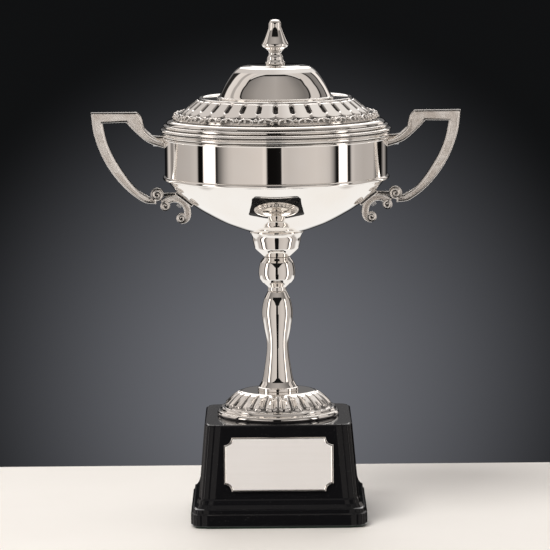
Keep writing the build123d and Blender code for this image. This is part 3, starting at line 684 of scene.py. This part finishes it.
def emboss(shape, run, lobes, pattern):
    """Shapes the vertices spun from a run of outline points.

    pattern(across, along, pitch) takes mm from a tongue's centre line, mm down the slope
    and the width of one tongue there, and gives (height in mm, recess 0..1)."""
    knots = [Vector(point) for point in run]
    places, travelled = [], 0.0
    for index, knot in enumerate(knots):
        travelled += (knot - knots[index - 1]).length if index else 0.0
        ahead = heading(knots, index)
        places.append((knot, travelled, Vector((-ahead.y, ahead.x)).normalized()))
    recess = shape.verts.layers.float.new("recess")
    moved = 0
    for vert in shape.verts:
        radius = math.hypot(vert.co.x, vert.co.y) / MM
        here = Vector((radius, vert.co.z / MM))
        knot, along, normal = min(places, key=lambda place: (place[0] - here).length_squared)
        if (knot - here).length > 0.03:
            continue
        pitch = 2 * math.pi * radius / lobes
        turn = math.atan2(vert.co.y, vert.co.x) / (2 * math.pi) * lobes + 0.5
        across = abs(turn - round(turn)) * pitch
        height, depth = pattern(across, along, pitch)
        grown = (radius + normal.x * height) / radius
        vert.co.x *= grown
        vert.co.y *= grown
        vert.co.z += normal.y * height * MM
        vert[recess] = depth
        moved += 1
    print("embossed vertices:", moved)


# %% [markdown]
# ## Foot
#
# Twenty-four leaf-like tongues run down the foot from a nearly flat disc. Each is crowned, dips
# to a fine groove at its sides and ends in a rounded tip above the plain ledges.

# %% Foot
FOOT_LOBES = 24
FOOT_SLOPE = curve_through([(21.3, 73.9), (24.6, 72.5), (28.0, 69.7), (30.6, 67.1), (32.5, 65.1)], 7)


def foot_tongues(across, along, pitch):
    """Height and recess of the foot's gadroons."""
    side = min(across / (pitch / 2), 1.0)
    started = ease(along, 0.5, 2.6)
    tip = 13.0 - 2.6 * (1 - math.sqrt(max(0.0, 1 - side * side)))
    ended = ease(along, tip + 0.5, tip - 0.9)
    crown = (1 - side ** 2.4) ** 0.55 if side < 1 else 0.0
    centre_rib = 0.16 * math.exp(-((across / 0.45) ** 2)) * ease(along, 3, 8)
    height = started * (-0.95 + ended * (1.05 * crown + centre_rib))
    # The recess paints the grooves and the band past the tongue tips dark: painted shade together with
    # tarnish.
    groove = started * ease(side, 0.80, 0.98) * ease(along, 13.8, 12.0)
    return height, max(groove, 0.65 * started * (1 - ended) * ease(along, 14.2, 12.5))


foot = [(3.3, 74.0), (12.0, 74.0), (20.4, 73.95)] + FOOT_SLOPE
foot += [(33.3, 64.7), (33.4, 64.2), (33.4, 63.7), (34.1, 63.3), (34.2, 63.0), (34.2, 62.55)]
foot += [(32.6, 62.5), (30.6, 65.0), (26.9, 68.0), (20.8, 72.4), (3.3, 72.4)]
foot_shape = spin_outline(foot, FOOT_LOBES * 20)
emboss(foot_shape, FOOT_SLOPE, FOOT_LOBES, foot_tongues)
finish_piece("foot_gadrooned", foot_shape, "cup", ["foot"], "silver", polished_silver)

# %% [markdown]
# ## Lid
#
# The cover is spun: a flat shoulder, a slope for the cast border, and a stack of small
# steps down to the rim. A separate ring drops inside the bowl and centres the lid.

# %% Lid cover and rings
cover = [(28.0, 246.3), (43.2, 246.3), (55.5, 236.5), (59.5, 235.7), (60.0, 235.3), (60.1, 234.7)]
cover += [(60.2, 234.4)] + curve_through([(60.9, 234.35), (62.6, 234.0), (63.9, 233.1), (64.4, 232.1)], 5)
cover += [(64.3, 231.85), (64.6, 231.7)]
cover += curve_through([(65.1, 231.65), (65.8, 231.4), (66.1, 230.8), (65.9, 230.1)], 5)
cover += [(65.4, 229.85), (65.4, 229.65), (65.9, 229.5), (66.2, 229.2), (66.4, 229.0), (66.4, 226.6)]
cover += [(60.8, 226.6), (60.8, 227.8), (62.0, 228.6), (61.4, 231.8), (58.9, 232.9)]
cover += [(58.5, 234.5), (54.9, 235.2), (42.7, 245.1), (28.0, 245.1)]
turned("lid_cover_spun", cover, "lid", "lid_cover", corner=0.06, steps=256,
       grooves=[(60.1, 234.5), (64.35, 231.8), (65.4, 229.75)])

band = [(66.3, 226.65), (67.0, 226.65), (67.25, 226.85), (67.1, 227.1), (66.5, 227.2), (66.45, 227.75)]
band += curve_through([(67.0, 227.85), (67.55, 228.15), (67.7, 228.5), (67.5, 229.0), (67.0, 229.3)], 4)
band += [(66.3, 229.4)]
turned("lid_outer_ring_turned", band, "lid", "lid_outer_ring", corner=0.06, steps=256,
       grooves=[(66.5, 227.3), (66.5, 227.6)])

skirt = [(60.8, 223.2), (63.2, 223.2), (63.2, 226.6), (60.8, 226.6)]
turned("lid_locating_ring_turned", skirt, "lid", "lid_locating_ring", corner=0.4)

# %% [markdown]
# ## Gadrooned border of the lid
#
# Thirty-two wide tongues lie side by side on the slope. They run together at the top,
# under a raised lip, and narrow slots part them in the middle. Their lower ends are
# rounded like scallops.

# %% Lid border
LID_LOBES = 32
SLOPE_TOP = Vector((43.2, 246.3))
SLOPE_BOTTOM = Vector((55.5, 236.5))
slope_down = (SLOPE_BOTTOM - SLOPE_TOP).normalized()
slope_out = Vector((-slope_down.y, slope_down.x))
SLOPE_LENGTH = (SLOPE_BOTTOM - SLOPE_TOP).length
BORDER_BASE = 0.15
BORDER_POINTS = 34
border_face = [
    tuple(SLOPE_TOP + slope_down * SLOPE_LENGTH * step / BORDER_POINTS + slope_out * BORDER_BASE)
    for step in range(BORDER_POINTS + 1)
]


def lid_tongues(across, along, pitch):
    """Height and recess of the lid's gadroons."""
    side = min(across / (pitch / 2), 1.0)
    lip = 1.30 * ease(along, -0.1, 0.35) * ease(along, 1.9, 1.2)
    tip = 15.2 - 3.0 * (1 - math.sqrt(max(0.0, 1 - side * side)))
    ended = ease(along, tip + 0.25, tip - 1.3)
    crown = 0.75 + 0.50 * (1 - side ** 2.2)
    body = ease(along, 1.0, 2.4) * crown * ended
    beyond = max(4.2 - along, along - 8.6, 0.0)
    from_slot = math.hypot(pitch / 2 - across, beyond)
    slot = ease(from_slot, 1.50, 1.10)
    height = max(lip, body) * (1 - slot)
    # The recess paints the slots and the ground under the scallop ends dark: painted shade together with
    # tarnish.
    return height, max(slot, 0.9 * (1 - ended) * ease(along, 11, 13))


border_outline = border_face + [tuple(SLOPE_BOTTOM), tuple(SLOPE_TOP)]
border_shape = spin_outline(border_outline, LID_LOBES * 18)
emboss(border_shape, border_face, LID_LOBES, lid_tongues)
finish_piece(
    "lid_border_gadrooned", border_shape, "lid", ["lid_gadroon_border"], "silver", polished_silver
)

# %% [markdown]
# ## Beaded wire
#
# A wire with beads and little arches is soldered in the angle below the tongues. One
# arch and one bead are modelled and repeated round the lid.

# %% Beaded wire
def repeat_round(shape, geometry, count):
    """Copies geometry round the axis until there are count of it."""
    for number in range(1, count):
        copy = bmesh.ops.duplicate(shape, geom=geometry)["geom"]
        verts = [item for item in copy if isinstance(item, bmesh.types.BMVert)]
        turn = Matrix.Rotation(2 * math.pi * number / count, 3, "Z")
        bmesh.ops.rotate(shape, verts=verts, cent=(0, 0, 0), matrix=turn)


def ribbon(shape, path, radii, sides=8, flat=1.0):
    """A round wire along a path of points in metres, tapering through radii in mm."""
    ring, loops = None, []
    for index, (point, radius) in enumerate(zip(path, radii)):
        ahead = heading(path, index)
        aim = ahead.to_track_quat("Z", "Y").to_matrix().to_4x4()
        made = bmesh.ops.create_circle(
            shape, cap_ends=index in (0, len(path) - 1), radius=radius * MM, segments=sides,
            matrix=Matrix.Translation(point) @ aim @ Matrix.Diagonal((1, flat, 1, 1)),
        )
        edges = {edge for vert in made["verts"] for edge in vert.link_edges}
        edges = [edge for edge in edges if all(vert in made["verts"] for vert in edge.verts)]
        if ring:
            bmesh.ops.bridge_loops(shape, edges=ring + edges)
        ring = edges
        loops += made["verts"]
    return loops


def join_shape(target, source):
    """Moves one bmesh into another."""
    mesh = bpy.data.meshes.new("joined")
    source.to_mesh(mesh)
    source.free()
    target.from_mesh(mesh)
    bpy.data.meshes.remove(mesh)


wire = bmesh.new()
wire_ring = spin_outline([
    (55.6, 236.6), (59.6, 235.75), (59.9, 235.9), (59.7, 236.3), (58.4, 237.3), (57.2, 237.9),
    (56.6, 237.7),
], 192)
join_shape(wire, wire_ring)
# The ring's top under the arches is marked recessed, which paints shade there together with tarnish.
recess = wire.verts.layers.float.new("recess")
for vert in wire.verts:
    vert[recess] = 0.8 if vert.co.z > 236.1 * MM else 0.0

lobe_width = 2 * math.pi / LID_LOBES
ARCH_STEPS = 10


def wire_point(turn, radius, height):
    """A point of the wire: turn in lobes, radius and height in mm."""
    angle = lobe_width * turn
    return Vector((radius * math.cos(angle), radius * math.sin(angle), height)) * MM


arch = []
for step in range(ARCH_STEPS + 1):
    swing = math.pi * (step / ARCH_STEPS * 1.25 - 0.10)
    arch.append(wire_point(0.5 - 0.36 * math.cos(swing), 59.6 - 1.7 * math.sin(swing),
                           236.2 + 1.9 * math.sin(swing)))
wire_verts = ribbon(wire, arch, [0.66 - 0.02 * step for step in range(ARCH_STEPS + 1)], 6)
# (turn in lobes, radius, height, size in mm) of the beads in one lobe.
BEADS = [(0.0, 58.7, 237.5, 1.15), (0.46, 59.2, 236.8, 0.95), (0.75, 59.5, 236.1, 0.6)]
for turn, radius, height, size in BEADS:
    wire_verts += bmesh.ops.create_uvsphere(
        wire, u_segments=9, v_segments=6, radius=size * MM,
        matrix=Matrix.Translation(wire_point(turn, radius, height)),
    )["verts"]
arch_geometry = list({face for vert in wire_verts for face in vert.link_faces})
arch_geometry += list({edge for vert in wire_verts for edge in vert.link_edges}) + wire_verts
repeat_round(wire, arch_geometry, LID_LOBES)
face_outwards(wire)
finish_piece("lid_beaded_wire", wire, "lid", ["lid_bead_border"], "silver", polished_silver)

# %% [markdown]
# ## Dome and finial
#
# The dome is spun and soldered to the shoulder.

# %% Dome
dome = [(2.2, 266.1), (14.0, 266.1)] + curve_through([
    (16.0, 266.02), (20.4, 264.95), (24.3, 262.0), (28.9, 255.6), (32.7, 248.4),
], 12)
dome += [(33.1, 247.7), (34.0, 247.5), (34.2, 247.2), (34.2, 246.3), (31.4, 246.3)]
dome += [(31.4, 248.4), (28.6, 253.4), (25.2, 258.7), (23.0, 261.4), (19.8, 263.8)]
dome += [(14.0, 264.9), (2.2, 264.9)]
turned("lid_dome_spun", dome, "lid", "lid_dome", corner=0.15)

# %% [markdown]
# The finial is a solid turning, screwed on from inside: a foot, a thin neck, a cup with a
# bright rim and a bell-shaped top.

# %% Finial
knob = [(0, 266.1), (5.6, 266.1), (5.7, 266.5), (5.9, 266.9), (5.8, 267.6), (5.3, 268.2)]
knob += curve_through([(4.9, 268.8), (4.75, 269.6), (4.6, 270.6), (4.2, 271.3)], 4)
knob += curve_through([(3.85, 271.9), (3.7, 272.8), (4.2, 274.0), (5.4, 275.2), (6.6, 276.0)], 5)
knob += curve_through([(7.2, 276.4), (7.75, 277.2), (7.85, 278.0), (7.4, 279.1)], 4)
knob += curve_through([
    (6.85, 280.1), (5.9, 282.2), (5.0, 284.4), (4.15, 286.7), (3.75, 288.2), (3.7, 289.7),
    (3.2, 291.2), (2.0, 292.15), (0.8, 292.46),
], 6)
knob += [(0, 292.5)]
turned("finial_turned", knob, "lid", "finial", corner=0.1, steps=96)

# %% [markdown]
# ## Plinth
#
# The plinth is one injection moulding: a tapered block with stepped corners on a wider
# base. Its plan is drawn once as a corner-bevelled square, then extruded level by level.
# Every corner point moves out along its diagonal, so the steps keep their width.

# %% Plinth plan
PLINTH_SLOPE = 0.086


def plinth_half(height):
    """Half width of the sloping panels at a height, in mm."""
    return 43.1 + PLINTH_SLOPE * (57.9 - height)


def corner_square(shape, half, height):
    """Draws the stepped-corner plan as one face."""
    low, mid, back = half - 9.4, half - 6.6, half - 1.2
    quarter = [(low, half), (mid, back), (back, back), (back, mid), (half, low)]
    points = []
    for step in range(4):
        turn = Matrix.Rotation(-step * math.pi / 2, 2)
        points += [turn @ Vector(point) for point in quarter]
    verts = [shape.verts.new((x * MM, y * MM, height * MM)) for x, y in points]
    plan = shape.faces.new(verts)
    plan.normal_update()
    arrises = [vert for vert in verts if abs(abs(vert.co.x) - abs(vert.co.y)) < 0.01 * MM]
    bmesh.ops.bevel(
        shape, geom=arrises, offset=4.4 * MM, segments=8, profile=0.5, affect="VERTICES", material=-1
    )


def raise_plan(shape, ring, rise, growth):
    """Extrudes a ring of edges up by rise, moving each quadrant out by growth (mm)."""
    made = bmesh.ops.extrude_edge_only(shape, edges=ring)["geom"]
    verts = [item for item in made if isinstance(item, bmesh.types.BMVert)]
    for vert in verts:
        side_x, side_y = math.copysign(1, vert.co.x), math.copysign(1, vert.co.y)
        vert.co += Vector((side_x * growth, side_y * growth, rise)) * MM
    fresh = set(verts)
    return [
        item for item in made
        if isinstance(item, bmesh.types.BMEdge) and fresh.issuperset(item.verts)
    ]


PLINTH_LEVELS = [
    (1.2, 50.9), (1.7, 51.3), (7.9, 51.3), (8.5, 50.4), (10.8, 50.3), (11.35, 49.2), (13.4, 47.9),
    (15.8, 47.2), (16.8, plinth_half(16.8)), (58.3, plinth_half(58.3)), (59.1, 42.7), (59.5, 41.9),
]
CAVITY_LEVELS = [(1.2, 47.4), (8.0, 46.4), (14.0, 43.6), (56.3, 39.8)]

plinth = bmesh.new()
corner_square(plinth, *reversed(PLINTH_LEVELS[0]))
base_ring = list(plinth.edges)
bmesh.ops.delete(plinth, geom=plinth.faces[:], context="FACES_ONLY")
for levels in (PLINTH_LEVELS, [PLINTH_LEVELS[0], *CAVITY_LEVELS]):
    ring = base_ring
    for (height, half), (next_height, next_half) in zip(levels, levels[1:]):
        ring = raise_plan(plinth, ring, next_height - height, next_half - half)
    bmesh.ops.edgeloop_fill(plinth, edges=ring)
face_outwards(plinth)
soften(plinth, 0.22, 12)
# The boss under the top is where the tie rod passes through.
BOSS_RADII, BOSS_LENGTH, BOSS_MIDDLE = (9, 9.4), 13.2, 50.6
bmesh.ops.create_cone(
    plinth, cap_ends=True, segments=48, radius1=BOSS_RADII[0] * MM, radius2=BOSS_RADII[1] * MM,
    depth=BOSS_LENGTH * MM, matrix=Matrix.Translation((0, 0, BOSS_MIDDLE * MM)),
)
finish_piece("plinth_moulding", plinth, "cup", ["plinth_shell"], "black_moulding", gloss_black)

# %% [markdown]
# ## Nameplate
#
# A plate with scooped corners, stuck on the front panel. Its border is raised and
# polished, its field is brushed for engraving. One point spun round each corner draws
# the scoops, and insets make the border.

# %% Nameplate
PLATE_WIDTH, PLATE_HEIGHT, SCOOP = 63.5, 31.5, 4.4
PLATE_CENTRE = 36.7
ADHESIVE, PLATE_THICKNESS = 0.25, 0.6
plate = bmesh.new()
arcs = []
for number, (across, upward) in enumerate(((1, 1), (-1, 1), (-1, -1), (1, -1))):
    corner = Vector((across * PLATE_WIDTH / 2, upward * PLATE_HEIGHT / 2, 0)) * MM
    arm = Matrix.Rotation(number * math.pi / 2, 3, "Z") @ Vector((0, -SCOOP, 0)) * MM
    seed = plate.verts.new(corner + arm)
    bmesh.ops.spin(
        plate, geom=[seed], cent=corner, axis=(0, 0, 1), angle=-math.pi / 2, steps=10, use_merge=False
    )
    plate.verts.ensure_lookup_table()
    arcs.append((seed, plate.verts[-1]))
for (_, finish_point), (start_point, _) in zip(arcs, arcs[1:] + arcs[:1]):
    plate.edges.new((finish_point, start_point))
field = bmesh.ops.edgeloop_fill(plate, edges=plate.edges[:])["faces"]
if field[0].normal.z < 0:
    bmesh.ops.reverse_faces(plate, faces=field)
bmesh.ops.extrude_edge_only(plate, edges=plate.edges[:])
outer = set(field[0].verts)
for vert in plate.verts:
    if vert not in outer:
        vert.co.z -= PLATE_THICKNESS * MM
for thickness, depth in ((0.35, 0.33), (0.45, 0.0), (0.40, -0.33)):
    bmesh.ops.inset_region(
        plate, faces=field, thickness=thickness * MM, depth=depth * MM, use_even_offset=True
    )
field[0].material_index = 1
soften(plate, 0.08, 25)
panel_x = Vector((1, 0, 0))
panel_out = Vector((0, -1, PLINTH_SLOPE)).normalized()
panel_up = panel_out.cross(panel_x)
seat = Matrix((panel_x, panel_up, panel_out)).transposed().to_4x4()
LIFT = ADHESIVE + PLATE_THICKNESS
plate_place = Matrix.Translation(
    (Vector((0, -plinth_half(PLATE_CENTRE), PLATE_CENTRE)) + panel_out * LIFT) * MM
) @ seat
bmesh.ops.transform(plate, matrix=plate_place, verts=plate.verts)
face_outwards(plate)
finish_piece("nameplate_plate", plate, "cup", ["nameplate"], "satin_silver", cast_silver, satin_silver)

# %% [markdown]
# ## Handles
#
# Each handle is one casting: an arm off the wall, a flat bar, a long sweep down to a
# small scroll, and a C scroll that rests on the bowl. It is drawn as flat shapes. Each
# gets half its depth, rounded edges and a sunk matt panel between polished borders, and
# is then mirrored to its other side.

# %% Casting helpers
# (inset, rise) in mm of each step round a casting's edge, then down into its sunk panel.
EDGE_STEPS = [(0.04, 0.14), (0.08, 0.10), (0.12, 0.06), (0.14, 0.0)]
PANEL_STEPS = [(0.08, -0.03), (0.08, -0.08), (0.08, -0.12), (0.08, -0.04)]


def flat_casting(shape, outline, depth, border=None, sunk=1.0):
    """Half of a flat casting, in front of the middle plane, with a sunk panel."""
    edge_rise = sum(rise for _, rise in EDGE_STEPS)
    points = [shape.verts.new((x * MM, -(depth / 2 - edge_rise) * MM, z * MM)) for x, z in outline]
    face = shape.faces.new(points)
    face.normal_update()
    if face.normal.y > 0:
        face.normal_flip()
    made = bmesh.ops.extrude_edge_only(shape, edges=list(face.edges))["geom"]
    for item in made:
        if isinstance(item, bmesh.types.BMVert):
            item.co.y = 0.0
    steps = EDGE_STEPS
    if border:
        steps = EDGE_STEPS + [(border, -0.13 * border)] + [(run, fall * sunk) for run, fall in PANEL_STEPS]
    for run, rise in steps:
        bmesh.ops.inset_region(
            shape, faces=[face], thickness=run * MM, depth=rise * MM, use_even_offset=False
        )
    if border:
        face.material_index = 1
    return face


# The section of a bordered band, from its middle out: (share of the half width, share of
# the half depth). The first two points bound the sunk panel.
BAND_SECTION = [
    (0.0, 0.84), (0.50, 0.84), (0.58, 0.93), (0.68, 1.0), (0.84, 1.0), (0.94, 0.95), (1.0, 0.84),
]


def scroll_band(shape, spine, widths, depth):
    """Sweeps half of a bordered band along a spine of (x, z) points in mm."""
    knots = [Vector(point) for point in spine]
    ring, sunk = None, set()
    for index, knot in enumerate(knots):
        ahead = heading(knots, index)
        normal = Vector((-ahead.y, ahead.x)).normalized()
        half = widths[0] + (widths[1] - widths[0]) * index / (len(knots) - 1)
        section = [(-1.0, 0.0)] + [(-across, front) for across, front in BAND_SECTION[::-1]]
        section += BAND_SECTION[1:] + [(1.0, 0.0)]
        verts = []
        for across, front in section:
            place = knot + normal * half * across
            verts.append(shape.verts.new((place.x * MM, -front * depth / 2 * MM, place.y * MM)))
            if abs(across) <= 0.5:
                sunk.add(verts[-1])
        edges = [shape.edges.new(pair) for pair in zip(verts, verts[1:])]
        if ring:
            made = bmesh.ops.bridge_loops(shape, edges=ring + edges)["faces"]
            for face in made:
                face.material_index = 1 if sunk.issuperset(face.verts) else 0
        else:
            shape.faces.new(verts)
        ring = edges
    shape.faces.new(verts)


def volute(shape, centre, radius, depth, turns, first, hand=1, wire=0.55):
    """A button with a spiral ridge on its face, like a rolled-up leaf."""
    place = Matrix.Translation((centre[0] * MM, -depth / 4 * MM, centre[1] * MM))
    place = place @ Matrix.Rotation(math.pi / 2, 4, "X")
    bmesh.ops.create_cone(
        shape, cap_ends=True, segments=40, radius1=radius * MM, radius2=radius * MM,
        depth=depth / 2 * MM, matrix=place,
    )
    steps = int(turns * 20)
    path, radii = [], []
    for step in range(steps + 1):
        share = step / steps
        angle = math.radians(first) + hand * share * turns * 2 * math.pi
        reach = (radius - wire) * (1 - share) ** 0.8 + 0.35 * share
        path.append(Vector((
            (centre[0] + reach * math.cos(angle)) * MM, -(depth / 2 + 0.05) * MM,
            (centre[1] + reach * math.sin(angle)) * MM,
        )))
        radii.append(wire * (1 - 0.35 * share))
    ribbon(shape, path, radii, 8)


# %% [markdown]
# The arm and the sweep are one outline, wide enough to carry the cup. A leaf lies on the
# arm, and a rolled button ends each scroll.

# %% Right handle
HANDLE_DEPTH, HANDLE_BORDER = 5.8, 0.75
ARM = curve_through([(64.7, 224.7), (72.0, 225.3), (76.4, 228.2), (78.6, 236.0), (81.2, 238.9)], 7)
SWEEP_OUT = curve_through(
    [(108.1, 239.0), (106.3, 225.5), (100.1, 209.6), (90.3, 196.0), (78.1, 186.2), (70.5, 184.9)], 10
)
SWEEP_IN = curve_through(
    [(74.6, 189.2), (82.7, 194.5), (93.1, 208.9), (98.8, 221.0), (101.4, 232.7)], 10
)
ARM_UNDER = curve_through([(87.6, 233.0), (82.3, 227.4), (74.7, 221.1), (64.7, 217.6)], 7)
casting = bmesh.new()
handle_outline = ARM + SWEEP_OUT + [(70.4, 188.6)] + SWEEP_IN + ARM_UNDER
flat_casting(casting, handle_outline, HANDLE_DEPTH, HANDLE_BORDER)
volute(casting, (69.9, 190.4), 3.8, 6.0, 1.6, -60, -1, 0.62)
leaf = curve_through([(79.2, 233.6), (77.6, 229.0), (73.6, 224.9), (69.2, 222.4), (65.4, 221.3)], 6)
leaf_points = [Vector((x, -2.75, z)) * MM for x, z in leaf]
leaf_radii = [
    0.25 + 1.5 * math.sin(math.pi * (index / (len(leaf) - 1)) ** 0.75 * 0.8)
    for index in range(len(leaf))
]
ribbon(casting, leaf_points, leaf_radii, 12, 0.55)

C_SPINE = curve_through(
    [(66.6, 185.0), (62.4, 187.5), (58.8, 187.9), (55.6, 186.6), (53.2, 184.0), (52.2, 180.6),
     (52.3, 177.6), (53.6, 175.6), (56.2, 174.9)], 6
)
scroll_band(casting, C_SPINE, (2.15, 1.95), 5.6)
volute(casting, (65.2, 183.6), 2.8, 5.9, 1.2, 90, 1, 0.5)
volute(casting, (55.8, 176.4), 2.9, 5.9, 1.4, 150, -1, 0.5)
flat_casting(casting, [(57.4, 191.4), (57.4, 189.9), (63.0, 189.6), (67.6, 188.6), (68.2, 191.2)], 4.2)
bmesh.ops.mirror(casting, geom=casting.verts[:] + casting.edges[:] + casting.faces[:],
                 matrix=Matrix.Identity(4), merge_dist=0.005 * MM, axis="Y")
bmesh.ops.remove_doubles(casting, verts=casting.verts[:], dist=0.003 * MM)
face_outwards(casting)
print("casting reaches x", round(max(vert.co.x for vert in casting.verts) / MM, 1))

# %% [markdown]
# A pad under the C scroll lies flat on the bowl and spreads the handle's pull over the
# thin sheet. The left handle is the right one mirrored.

# %% Saddle pad and left handle
PAD_TOP, PAD_FOOT = Vector((59.2, 192.2)), Vector((48.4, 183.8))
pad_run = (PAD_TOP - PAD_FOOT).normalized()
pad_out = Vector((pad_run.y, -pad_run.x))
pad_middle = (PAD_TOP + PAD_FOOT) / 2 + pad_out * 0.35
pad = bmesh.new()
bmesh.ops.create_cube(pad, size=1.0)
bmesh.ops.scale(pad, vec=(12.6 * MM, 9 * MM, 1.9 * MM), verts=pad.verts)
outside = [face for face in pad.faces if face.normal.z > 0.5]
bmesh.ops.inset_region(pad, faces=outside, thickness=1.3 * MM, depth=0.0)
bmesh.ops.inset_region(pad, faces=outside, thickness=0.3 * MM, depth=-0.35 * MM)
soften(pad, 0.4, 60)
pad_axes = Matrix((
    (pad_run.x, 0, pad_out.x), (0, 1, 0), (pad_run.y, 0, pad_out.y)
)).to_4x4()
bmesh.ops.transform(
    pad, matrix=Matrix.Translation((pad_middle.x * MM, 0, pad_middle.y * MM)) @ pad_axes, verts=pad.verts
)
face_outwards(pad)
join_shape(casting, pad)

other = casting.copy()
bmesh.ops.scale(other, vec=(-1, 1, 1), verts=other.verts)
face_outwards(other)
finishes = cast_silver, matted_silver
finish_piece("handle_right_casting", casting, "cup", ["handle_right"], "cast_silver", *finishes)
finish_piece("handle_left_casting", other, "cup", ["handle_left"], "cast_silver", *finishes)
